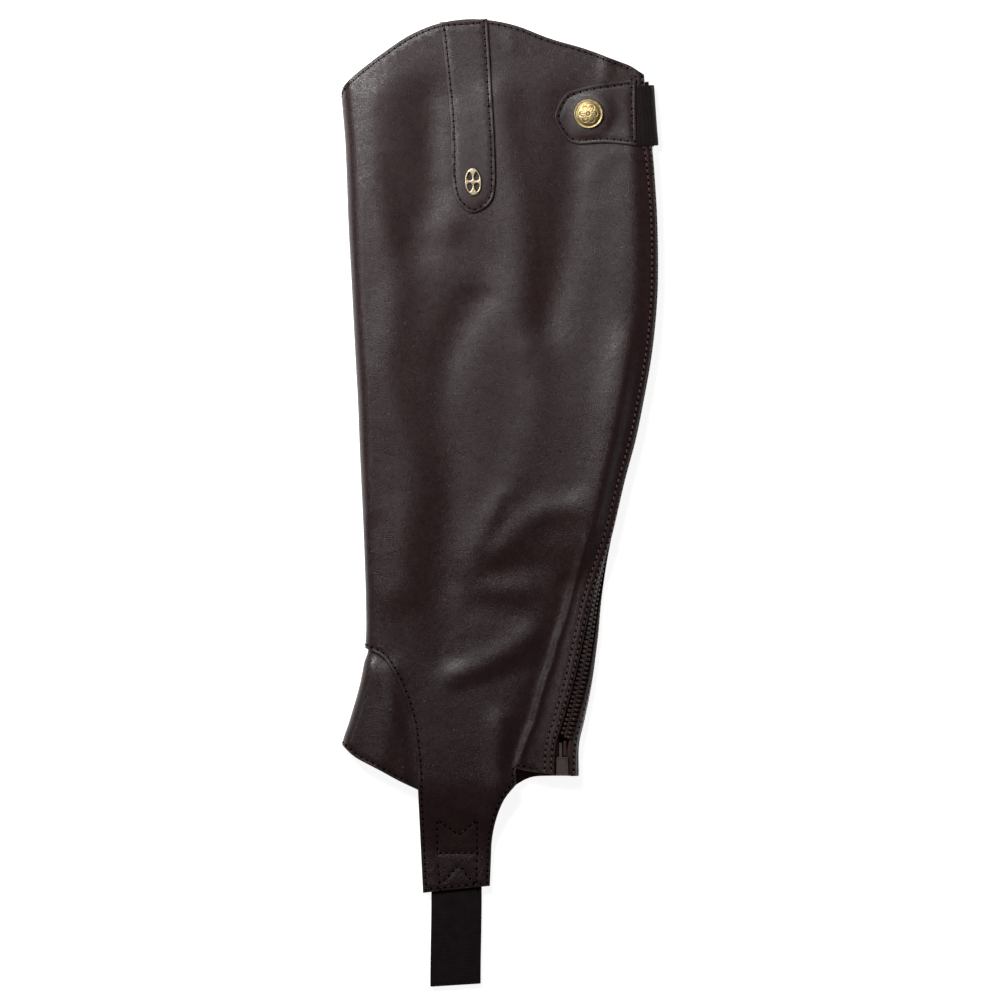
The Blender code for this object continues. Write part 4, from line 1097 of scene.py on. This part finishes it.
# %% [markdown]
# ## The strap under the foot
# It is one length of elastic, sewn between the two sides of the tongue and folded flat. Its path is a line
# seen from the side, and the band is swept along it with rounded selvedges.

# %% Understrap
STRAP_MIDDLE, STRAP_HALF = -24.7, 14.5
STRAP_LOW, STRAP_FREE, STRAP_END, STRAP_LOOP = -208.0, -226.0, -277.0, 1.6
# How far along the strap each change goes on, from where it comes out of the tongue.
SETTLES, LOWERS, SWAYS = 18.0, 40.0, 50.0
SWAY, SLANT, SELVEDGE, FACE_END = 0.6, 0.9, 0.1, 0.5
OFF_TABLE, STRAP_STEPS, LOOP_STEPS, FACE_STEPS = 0.02, 36, 14, 13


def strap_low(y):
    """The middle of the lower band: held between the tongue's sides, then down on the table."""
    held = LEATHER + SEAM_GAP + ELASTIC / 2
    return held + (ELASTIC / 2 + OFF_TABLE - held) * float(eased((STRAP_FREE - y) / SETTLES))


def strap_high(y):
    """The middle of the upper band, which comes down to the loop at the end."""
    held = TONGUE_DEPTH - LEATHER - SEAM_GAP - ELASTIC / 2
    return held + (strap_low(STRAP_END) + 2 * STRAP_LOOP - held) * float(eased((STRAP_FREE - y) / LOWERS))


strap_rows = np.linspace(STRAP_LOW, STRAP_END + STRAP_LOOP, STRAP_STEPS)
loop_turns = [math.pi * k / LOOP_STEPS for k in range(1, LOOP_STEPS)]
strap_path = np.array([*((y, strap_low(y)) for y in strap_rows),
                       *((strap_rows[-1] - STRAP_LOOP * math.sin(turn),
                          strap_low(STRAP_END) + STRAP_LOOP * (1 - math.cos(turn))) for turn in loop_turns),
                       *((y, strap_high(y)) for y in reversed(strap_rows))])
strap_gone = gone_along(strap_path)
ahead = unit(np.gradient(strap_path, axis=0))
outwards = np.stack([ahead[:, 1], -ahead[:, 0]], axis=1)

# The band's section runs across from side to side over the outer face, and back over the inner one.
half = ELASTIC / 2
face = np.linspace(-STRAP_HALF + FACE_END, STRAP_HALF - FACE_END, FACE_STEPS)
hem_at = STRAP_HALF - SELVEDGE
section = [*((x, half) for x in face), (hem_at, 0.6 * half), (STRAP_HALF, 0.0), (hem_at, -0.6 * half),
           *((x, -half) for x in reversed(face)), (-hem_at, -0.6 * half), (-STRAP_HALF, 0.0),
           (-hem_at, 0.6 * half)]
points, places = [], []
for (y, z), (out_y, out_z), gone in zip(strap_path, outwards, strap_gone):
    free = float(eased((STRAP_FREE - y) / SWAYS))
    for x, lift in section:
        points.append((STRAP_MIDDLE + x - SWAY * free, y + SLANT * x / STRAP_HALF * free + out_y * lift,
                       z + out_z * lift))
        places.append((x, gone))
size = len(section)
walls = [(size * k + c, size * k + (c + 1) % size, size * (k + 1) + (c + 1) % size, size * (k + 1) + c)
         for k in range(len(strap_path) - 1) for c in range(size)]
last = size * (len(strap_path) - 1)
walls += [tuple(reversed(range(size))), tuple(range(last, last + size))]
mesh = bpy.data.meshes.new("understrap")
mesh.from_pydata((np.array(points) * MM).tolist(), [], walls)
outwards_faced(mesh)
mesh.shade_smooth()
pattern_on(mesh, np.array(places))
mesh.materials.append(BLACK_ELASTIC)
understrap = placed("understrap_band", mesh)
dressed(understrap, "elastic", "understrap_elastic")
print(size_of(understrap), "band:", round(2 * STRAP_HALF), "x", round(float(strap_gone[-1])), "mm")

# %% [markdown]
# ## The elastic of the closure, and the zip's tapes
# The short elastic joins the closure strap to the inner side and passes over the slider. The tapes lie under
# the leather on both sides of the teeth. All three are pieces of the same pattern, so `shell` makes them too.

# %% Closure elastic
BRIDGE_LIFT, BRIDGE_HALF, BRIDGE_SLOPE = 1.7, 3.0, 2.4
BAND_LAST, BAND_CORNER, BAND_ROUND, BAND_STEP, BAND_BEFORE = 6.2, 0.6, 2.0, 1.1, 4.0


def bridge(run, y):
    """The elastic's height: close on the leather, and lifted over the slider."""
    across = np.abs(run - ring(y).out_run)
    return LAID_ON + BRIDGE_LIFT * (1 - eased((across - BRIDGE_HALF) / BRIDGE_SLOPE)) + ELASTIC


band_high, band_low = (over(CLOSURE_TAB_BACK + SEAM_GAP, y) for y in (CLOSURE_HIGH, CLOSURE_LOW))
band_loop = closed(straight(band_low, over_zip(BAND_LAST - BAND_ROUND, CLOSURE_LOW)),
                   [over_zip(BAND_LAST - BAND_CORNER, CLOSURE_LOW + BAND_CORNER)],
                   along_zip(BAND_LAST, CLOSURE_LOW + BAND_ROUND, CLOSURE_HIGH, over_zip),
                   straight(over_zip(BAND_LAST, CLOSURE_HIGH), band_high), straight(band_high, band_low))
band_from = band_low[0] - BAND_BEFORE
band_points = np.array([(run, y) for y in np.arange(CLOSURE_LOW + BAND_CORNER, CLOSURE_HIGH, BAND_STEP)
                        for run in np.arange(band_from, ring(y).out_run + BAND_LAST, BAND_STEP)])
closure_band = shell("closure_band", band_loop, (CLOSURE_WEAVE,) * 3, ELASTIC, top=bridge, points=band_points,
                     clear=0.5)
dressed(closure_band, "elastic", "closure_elastic")
flat, area = cut_size(band_loop)
print(cut_note(closure_band, flat))

# %% Zip tapes
TEETH_HALF, TEETH_TOP, TEETH_DEEP = 3.2, -0.8, 2.4
TAPE_EDGE, TAPE_FAR, TAPE_LIFT = TEETH_HALF + SEAM_GAP, 14.0, -(LEATHER + 0.5)
TEETH_FROM, PIN_FROM, PIN_TAPE_EDGE, SLIDER_AT = -136.0, -146.3, 2.9, 222.0
TAPE_FROM, TAPE_TO, TAPE_COLUMNS = ZIP_BOTTOM + 0.4, 241.0, (3.9, 5.4, 7.2, 9.0, 11.0, 12.6)

for name, side in (("outer", -1), ("inner", 1)):
    tape_loop = closed(along_zip(side * TAPE_EDGE, TEETH_FROM - 0.2, TAPE_TO),
                       along_zip(side * TAPE_FAR, TAPE_TO, TAPE_FROM),
                       along_zip(side * (TAPE_EDGE + 0.5), TAPE_FROM, PIN_FROM),
                       along_zip(side * PIN_TAPE_EDGE, PIN_FROM + 0.6, TEETH_FROM - 1.0))
    tape_points = np.array([by_zip(side * across, y) for y in np.arange(ZIP_BOTTOM + 1.5, 240.0, ROW_STEP)
                            for across in TAPE_COLUMNS])
    tape = shell(f"zip_tape_{name}_weave", tape_loop, (DARK_TAPE,) * 3, TAPE, top=TAPE_LIFT,
                 points=tape_points, edge_round=0.2, clear=0.3)
    dressed(tape, "zip_tape", f"zip_tape_{name}")
    long = cut_size(tape_loop)[0][1]
    print(size_of(tape), "length in mm:", round(long / MM))

# %% [markdown]
# ## What repeats along a line
# Stitches and zip teeth repeat hundreds of times along lines that lie on the leather. Geometry Nodes do this
# best: a line goes in as a mesh that knows which way is out, it is cut into even steps, one small shape is
# set on each step and turned to the leather, and the tree ends in real geometry with its material.

# %% Lines that know which way is out
def line_mesh(name, lines, lift=0.0):
    """Lines of the pattern as edges in space, with the skin's direction kept on each point."""
    points, outs, edges = [], [], []
    for line in lines:
        line = np.array(line)
        height = lift(*line.T) if callable(lift) else lift
        edges += [(len(points) + k, len(points) + k + 1) for k in range(len(line) - 1)]
        points += (form(*line.T, height) * MM).tolist()
        outs.append(frame_at(*line.T)[3])
    mesh = bpy.data.meshes.new(name)
    mesh.from_pydata(points, edges, [])
    mesh.attributes.new("out", "FLOAT_VECTOR", "POINT").data.foreach_set("vector", np.vstack(outs).ravel())
    return placed(name, mesh)


def grow(made, tree, inputs):
    """Grows a Geometry Nodes tree on an object, and keeps the result as a plain mesh."""
    growth = made.modifiers.new("growth", "NODES")
    growth.node_group = tree
    for socket in tree.interface.items_tree:
        if socket.in_out == "INPUT" and socket.name in inputs:
            growth[socket.identifier] = inputs[socket.name]
    bpy.context.view_layer.update()
    seen = made.evaluated_get(bpy.context.evaluated_depsgraph_get())
    mesh = bpy.data.meshes.new_from_object(seen)
    made.modifiers.clear()
    old = made.data
    made.data = mesh
    mesh.name = made.name
    bpy.data.meshes.remove(old)
    mesh.shade_smooth()


def new_geometry_tree(name, inputs):
    """A tree that grows one geometry into another, with inputs given as a number or a kind of socket."""
    tree = bpy.data.node_groups.new(name, "GeometryNodeTree")
    tree.interface.new_socket("Geometry", in_out="INPUT", socket_type="NodeSocketGeometry")
    tree.interface.new_socket("Geometry", in_out="OUTPUT", socket_type="NodeSocketGeometry")
    for label, value in inputs.items():
        kind = value if isinstance(value, str) else "NodeSocketFloat"
        socket = tree.interface.new_socket(label, in_out="INPUT", socket_type=kind)
        if kind == "NodeSocketFloat":
            socket.default_value = value
    return tree, tree.nodes.new("NodeGroupInput").outputs, tree.nodes.new("NodeGroupOutput").inputs


def placed_along(tree, given, shape, shift=(0.0, 0.0, 0.0), turn=(0.0, 0.0, 0.0)):
    """Sets a shape on each step of the line, its X along the line and its Z out of the leather."""
    line = made_by(tree, "GeometryNodeMeshToCurve", {"Mesh": given["Geometry"]})
    steps = made_by(tree, "GeometryNodeResampleCurve", {"Curve": line, "Length": given["Pitch"]},
                    mode="LENGTH")
    out = add(tree, "GeometryNodeInputNamedAttribute", {"Name": "out"}, data_type="FLOAT_VECTOR")
    out = out.outputs["Attribute"]
    tangent = made_by(tree, "GeometryNodeInputTangent")
    forward = made_by(tree, "FunctionNodeAlignRotationToVector", {"Vector": tangent}, axis="X")
    upright = made_by(tree, "FunctionNodeAlignRotationToVector",
                      {"Rotation": forward, "Vector": out}, axis="Z", pivot_axis="X")
    turned = made_by(tree, "FunctionNodeRotateRotation", {"Rotation": upright, "Rotate By": turn},
                     rotation_space="LOCAL")
    set_down = made_by(tree, "GeometryNodeInstanceOnPoints",
                       {"Points": steps, "Instance": shape, "Rotation": turned})
    moved = made_by(tree, "GeometryNodeTranslateInstances",
                    {"Instances": set_down, "Translation": shift, "Local Space": True})
    return made_by(tree, "GeometryNodeRealizeInstances", {"Geometry": moved})


def joined(tree, *parts):
    join = tree.nodes.new("GeometryNodeJoinGeometry")
    for part in parts:
        tree.links.new(part, join.inputs[0])
    return join.outputs[0]


def coated(tree, geometry, look):
    return made_by(tree, "GeometryNodeSetMaterial", {"Geometry": geometry, "Material": look})


def vector(tree, **sides):
    return made_by(tree, "ShaderNodeCombineXYZ", sides)


def share_of_pitch(tree, given, share):
    """A shift along the line by a part of a step."""
    return vector(tree, X=math_of(tree, "MULTIPLY", given["Pitch"], share))


def egg(tree, length, width, height, segments, rings):
    """A small rounded shape of given sizes."""
    ball = made_by(tree, "GeometryNodeMeshUVSphere", {"Segments": segments, "Rings": rings, "Radius": 0.5})
    sizes = vector(tree, X=length, Y=width, Z=height)
    return made_by(tree, "GeometryNodeTransform", {"Geometry": ball, "Scale": sizes})


print("line helpers ready")

# %% The sewing tree
SEWING, given, result = new_geometry_tree("sewing", {
    "Pitch": 0.0037, "Stitch Length": 0.0026, "Thread Width": 0.0007, "Thread Height": 0.0005, "Slant": 0.0,
    "Needle Hole": 0.0011, "Thread": "NodeSocketMaterial", "Hole": "NodeSocketMaterial"})
lean = made_by(SEWING, "FunctionNodeEulerToRotation", {"Euler": vector(SEWING, Z=given["Slant"])})
thread = egg(SEWING, given["Stitch Length"], given["Thread Width"], given["Thread Height"], 7, 5)
stitches = coated(SEWING, placed_along(SEWING, given, thread, turn=lean), given["Thread"])
# Each gap between stitches gets a small dark egg: painted shade standing for the inside of the needle hole.
hole = egg(SEWING, given["Needle Hole"], given["Needle Hole"], 0.4 * MM, 7, 3)
holes = placed_along(SEWING, given, hole, share_of_pitch(SEWING, given, 0.5))
feed(SEWING, result, {"Geometry": joined(SEWING, stitches, coated(SEWING, holes, given["Hole"]))})
print("sewing tree:", len(SEWING.nodes), "nodes")


# %% Thread
def thread_look(name, base):
    """Twisted polyester: fine slanting strands with a dull shine."""
    look, tree, shader = new_material(name, 0.5, specular=0.35)
    strands = noise(tree, object_mm(tree), 4.0, 2.0)["Fac"]
    colour = mixed(tree, ramp(tree, strands, 0.3, 0.7), base, tinted(base, 1.8))
    tree.links.new(colour, shader.inputs["Base Color"])
    bump_to(tree, shader, math_of(tree, "MULTIPLY", strands, 0.08))
    return look


def painted_hole_shade_look(name):
    """Painted shade for a needle hole: a near-black, slightly patchy colour on a small sunk egg."""
    look, tree, shader = new_material(name, 1.0, specular=0.0)
    patchy_shade = use_group(tree, MOTTLING, {"Place": object_mm(tree), "Size": 2.0})["Broad"]
    colour = mixed(tree, patchy_shade, (0.0025, 0.0018, 0.0016), (0.005, 0.0035, 0.003))
    tree.links.new(colour, shader.inputs["Base Color"])
    return look


BROWN_THREAD = thread_look("brown_thread", (0.011, 0.0070, 0.0066))
RUST_THREAD = thread_look("rust_thread", (0.075, 0.043, 0.038))
NEEDLE_HOLE_SHADE = painted_hole_shade_look("needle_hole")

SUNK, LINE_STEP, STITCH, HOLE = -0.12, 1.5, 2.4, 1.5


def sew(name, lines, lift=SUNK, pitch=3.7, width=0.8, slant=0.0, thread=BROWN_THREAD):
    """Sews rows of stitches into the grooves that were sunk for them."""
    rows = line_mesh(name, [stepped(line, LINE_STEP) for line in lines], lift)
    grow(rows, SEWING, {"Pitch": pitch * MM, "Stitch Length": STITCH * MM, "Thread Width": width * MM,
                        "Slant": slant, "Needle Hole": HOLE * MM, "Thread": thread, "Hole": NEEDLE_HOLE_SHADE})
    dressed(rows, "leather")
    print(size_of(rows))


# %% Sew the leather
sew("hem_stitches", HEM_ROWS)
sew("vamp_seam_stitches", [seam_row])
sew("zip_row_stitches", zip_rows, pitch=3.5, width=1.05, slant=0.25, thread=RUST_THREAD)
sew("inner_zip_row_stitches", inner_zip_rows, pitch=3.5, width=1.05, slant=0.25, thread=RUST_THREAD)
sew("strap_box_stitches", [*box_rows, *inner_box_rows], pitch=3.4)
sew("vamp_hem_stitches", [vamp_row], lift=lambda run, y: vamp_top(run, y) + SUNK)
sew("top_tab_stitches", tab_rows, lift=LAID_ON + LEATHER + SUNK, pitch=3.5)
sew("closure_tab_stitches", closure_rows, pitch=3.9,
    lift=lambda run, y: closure_base(run, y) + TAB_LEATHER + SUNK)

# %% [markdown]
# ## The zip
# The teeth are moulded plastic, each a block that grips the tape with a head that reaches past the middle.
# One tooth is built as a mesh, and a second tree sets it along the zip's middle line, once for each side and
# half a step apart, so that the heads mesh as on the real one.

# %% One tooth and the teeth tree
TOOTH_PITCH, FIRST_TOOTH, LAST_TOOTH = 2.7, 1.4, 4.0


class Block(NamedTuple):
    """A block with rounded edges, in millimetres."""
    size: tuple
    place: tuple
    rounding: float
    segments: int = 1


def built(name, look, *blocks):
    """Makes a piece from blocks, round its own middle."""
    shape = bmesh.new()
    for block in blocks:
        made = bmesh.ops.create_cube(shape, size=1.0)["verts"]
        bmesh.ops.scale(shape, vec=Vector(block.size) * MM, verts=made)
        bmesh.ops.translate(shape, vec=Vector(block.place) * MM, verts=made)
        edges = list({edge for vert in made for edge in vert.link_edges})
        bmesh.ops.bevel(shape, geom=edges, offset=block.rounding * MM, segments=block.segments,
                        affect="EDGES", profile=0.6)
    mesh = bpy.data.meshes.new(name)
    bmesh.ops.recalc_face_normals(shape, faces=shape.faces)
    shape.to_mesh(mesh)
    shape.free()
    mesh.materials.append(look)
    return placed(name, mesh)


def plastic_look(name, base, roughness):
    """Moulded plastic with an uneven gloss."""
    look, tree, shader = new_material(name, roughness)
    cloud = cloudy(tree, shader, 5.0, 0.03, (roughness - 0.08, roughness + 0.1))
    tree.links.new(mixed(tree, cloud, base, tinted(base, 1.5)), shader.inputs["Base Color"])
    return look


BROWN_TEETH = plastic_look("brown_teeth", (0.050, 0.0245, 0.0225), 0.48)
ZIP_FILM = plastic_look("zip_film", (0.085, 0.064, 0.058), 0.38)

tooth = built("tooth", BROWN_TEETH,
              Block((1.75, 2.3, TEETH_DEEP), (0.0, -2.05, 0.0), 0.25),
              Block((1.25, 2.2, TEETH_DEEP - 0.5), (0.0, -0.3, 0.0), 0.3))

TEETH, given, result = new_geometry_tree("zip_teeth", {"Pitch": 0.0027, "Tooth": "NodeSocketObject",
                                                       "Plastic": "NodeSocketMaterial"})
one = add(TEETH, "GeometryNodeObjectInfo", {"Object": given["Tooth"]}).outputs["Geometry"]
near = placed_along(TEETH, given, one)
far = placed_along(TEETH, given, one, share_of_pitch(TEETH, given, -0.5), (0.0, 0.0, math.pi))
feed(TEETH, result, {"Geometry": coated(TEETH, joined(TEETH, near, far), given["Plastic"])})

TEETH_LEVEL = TEETH_TOP - TEETH_DEEP / 2
middle_line = along_zip(0.0, TEETH_FROM + FIRST_TOOTH, SLIDER_AT - LAST_TOOTH, over_zip)
teeth = line_mesh("zip_teeth_row", [middle_line], TEETH_LEVEL)
grow(teeth, TEETH, {"Pitch": TOOTH_PITCH * MM, "Tooth": tooth, "Plastic": BROWN_TEETH})
bpy.data.objects.remove(tooth)
dressed(teeth, "zip_teeth", "zip_chain")
print(size_of(teeth))


# %% Slider, box and pin at the ends of the zip
def set_at(made, run, y, lift=0.0):
    """Moves a mesh to a place on the pattern, with its X across, its Y along and its Z out of the skin."""
    point, across, along, out = (Vector(np.ravel(part)) for part in frame_at(run, y))
    turn = Matrix((across, along, out)).transposed().to_4x4()
    made.data.transform(Matrix.Translation((point + out * lift) * MM) @ turn)


def metal_look(name, base, dark, roughness, relief_name=None):
    """Plated metal: bright where it is touched, with dark patina in its hollows and specks."""
    look, tree, shader = new_material(name, roughness, metallic=1.0)
    cloud = cloudy(tree, shader, 3.2, 0.02, (roughness - 0.06, roughness + 0.1))
    patina = math_of(tree, "MULTIPLY", cloud, 0.35)
    if relief_name:
        sunk = add(tree, "ShaderNodeAttribute", attribute_name=relief_name).outputs["Fac"]
        patina = math_of(tree, "MAXIMUM", patina, sunk)
    tree.links.new(mixed(tree, patina, base, dark), shader.inputs["Base Color"])
    return look


SLIDER_METAL = metal_look("slider_metal", (0.16, 0.125, 0.085), (0.03, 0.022, 0.016), 0.38)

LOW_PLATE = TEETH_TOP - TEETH_DEEP - 0.8
slider = built("zip_slider_body", SLIDER_METAL,
               *(Block((7.2, 21.0, 1.0), (0.0, 0.0, level), 0.32, 2) for level in (0.0, LOW_PLATE)),
               Block((2.4, 6.0, -LOW_PLATE), (0.0, 7.0, LOW_PLATE / 2), 0.2),
               *(Block((1.6, 1.6, 1.4), (0.0, along, 1.1), 0.2) for along in (5.8, -2.4)),
               Block((1.5, 9.8, 0.5), (0.0, 1.7, 1.6), 0.15))
set_at(slider, *by_zip(0.0, SLIDER_AT))
dressed(slider, "brass_metal", "zip_slider")

foot_middle = (PIN_FROM + ZIP_BOTTOM) / 2 + 0.2
pin_middle = (PIN_FROM + TEETH_FROM) / 2
pin_length = TEETH_FROM - PIN_FROM - 0.5
box_long = PIN_FROM - ZIP_BOTTOM - 0.6
box_end = box_long / 2 - 0.5
foot = built("zip_foot_box", ZIP_FILM,
             Block((6.8, box_long, 2.6), (0.0, 0.0, TEETH_LEVEL), 0.5, 2),
             *(Block((0.9, box_long, 2.8), (side, 0.0, TEETH_LEVEL), 0.3, 2) for side in (-2.9, 2.9)),
             *(Block((6.7, 0.9, 2.8), (0.0, along, TEETH_LEVEL), 0.3, 2) for along in (-box_end, box_end)),
             Block((1.6, pin_length, 2.0), (-0.95, pin_middle - foot_middle - 2.0, TEETH_LEVEL), 0.35, 2))
set_at(foot, *by_zip(0.0, foot_middle))
dressed(foot, "zip_film", "zip_box")

pin = built("zip_foot_pin", BROWN_TEETH,
            Block((1.6, pin_length - 1.2, 2.0), (0.95, -0.4, TEETH_LEVEL), 0.35, 2))
set_at(pin, *by_zip(0.0, pin_middle))
dressed(pin, "zip_teeth", "zip_pin")

for node_name in ("zip_pull", "snap_stud"):
    for material_slot in bpy.data.objects[node_name].material_slots:
        material_slot.material = SLIDER_METAL
for piece in (slider, foot, pin):
    print(size_of(piece))

# %% [markdown]
# ## Press stud and ornament
# The cap of the stud is a shallow brass dome with a rolled rim. A plain rosette is engraved in it: its petals
# are a rule of angle and radius, so the dome is a disc of rings whose height follows the rule. Patina gathers
# in the engraved lines. The ornament is a small oval plate, pierced with four drops. It is cut like the
# leather pieces, and lies on the strap.

# %% Cap of the press stud
CAP_TOP, ENGRAVED_DEEP, ROSETTE_END = 2.75, 0.16, 6.6
CAP_PROFILE = ((0.0, CAP_TOP), (2.0, 2.7), (4.0, 2.5), (5.6, 2.2), (6.7, 1.8), (7.2, 1.6), (7.6, 1.78),
               (8.0, 1.85), (8.35, 1.65), (8.58, 1.25), (8.6, 0.8))
RIM_RADII = (7.0, 7.2, 7.4, 7.6, 7.8, 8.0, 8.2, 8.35, 8.5, 8.58, 8.6)
UNDER_RIM = ((8.56, 0.55), (8.45, 0.35), (8.3, 0.15), (8.1, 0.05))
CAP_STEPS = 96


def engraved(radius, angle):
    """How deep the rosette is cut at a place of the cap, from 0 to 1."""
    petal = 2.6 + 2.5 * np.abs(np.cos(3 * angle))**0.8
    outline = np.exp(-((radius - petal) / 0.30)**2)
    eye = np.exp(-((radius - 1.0) / 0.26)**2)
    on_petal = eased((radius - 1.4) / 0.5) * eased((petal - radius) / 0.6)
    veins = np.exp(-(np.sin(3 * angle) * radius / 0.30)**2) * on_petal
    return np.maximum(np.maximum(outline, eye), 0.7 * veins) * (radius < ROSETTE_END)


under_radii, under_heights = zip(*UNDER_RIM)
domed = np.concatenate([np.linspace(0.25, 6.7, 30), RIM_RADII])
radii = np.concatenate([domed, under_radii])
heights = np.concatenate([np.interp(domed, *zip(*CAP_PROFILE)), under_heights])
angles = np.arange(CAP_STEPS) * math.tau / CAP_STEPS
around, outwards = np.meshgrid(angles, radii)
depth = engraved(outwards, around)
level = heights[:, None] - ENGRAVED_DEEP * depth
rings = np.stack([outwards * np.cos(around), outwards * np.sin(around), level], axis=-1)
points = [(0.0, 0.0, CAP_TOP), *rings.reshape(-1, 3).tolist(), (0.0, 0.0, 0.0)]
numbers = [range(first, first + CAP_STEPS) for first in range(1, len(points) - 1, CAP_STEPS)]
walls = [(0, numbers[0][k], numbers[0][(k + 1) % CAP_STEPS]) for k in range(CAP_STEPS)]
walls += walls_between(numbers)
walls += [(numbers[-1][(k + 1) % CAP_STEPS], numbers[-1][k], len(points) - 1) for k in range(CAP_STEPS)]
mesh = bpy.data.meshes.new("snap_cap_dome")
mesh.from_pydata((np.array(points) * MM).tolist(), [], walls)
mesh.shade_smooth()
patina_here = np.concatenate([[0.0], depth.ravel(), [0.0]])
mesh.attributes.new("engraving", "FLOAT", "POINT").data.foreach_set("value", patina_here)
mesh.materials.append(metal_look("antique_brass", (0.50, 0.385, 0.185), (0.060, 0.038, 0.016), 0.42,
                                 "engraving"))
cap = placed("snap_cap_dome", mesh)
set_at(cap, *over(*SNAP_AT), lift=STUD_HEIGHT + TAB_LEATHER + SEAM_GAP)
dressed(cap, "brass_metal", "snap_cap")
print(size_of(cap))

# %% Ornament on the strap
BADGE_AT, BADGE_THICK = (-15.0, 184.3), 1.0
BADGE_HALF_WIDTH, BADGE_HALF_HEIGHT = 4.9, 8.0
badge_run, badge_y = over(*BADGE_AT)


def oval(half_width, half_height, dx=0.0, dy=0.0, lean=0.0, steps=40):
    """A loop on the pattern: an oval, or a drop where it leans."""
    turn = np.arange(steps) * math.tau / steps
    narrow = 1 - lean * np.sin(turn)
    return np.stack([badge_run + dx + half_width * np.cos(turn) * narrow,
                     badge_y + dy + half_height * np.sin(turn)], axis=1)


badge_holes = [oval(1.25, 2.2, dx, dy, lean=0.45 * math.copysign(1, dy))
               for dx in (-2.0, 2.0) for dy in (-3.1, 3.1)]
PALE_GOLD = metal_look("pale_gold", (0.60, 0.49, 0.33), (0.09, 0.065, 0.040), 0.36)
badge_points = np.array([(badge_run + x, badge_y + y) for x in np.arange(-5.0, 5.1, 0.5)
                         for y in np.arange(-8.0, 8.1, 0.5)])
badge = shell("badge_plate", closed(oval(BADGE_HALF_WIDTH, BADGE_HALF_HEIGHT, steps=64)), (PALE_GOLD,) * 3,
              BADGE_THICK, holes=badge_holes, top=LAID_ON + LEATHER + SEAM_GAP + BADGE_THICK,
              points=badge_points, edge_round=0.38, clear=0.3)
dressed(badge, "gold_metal", "badge")
print(size_of(badge))
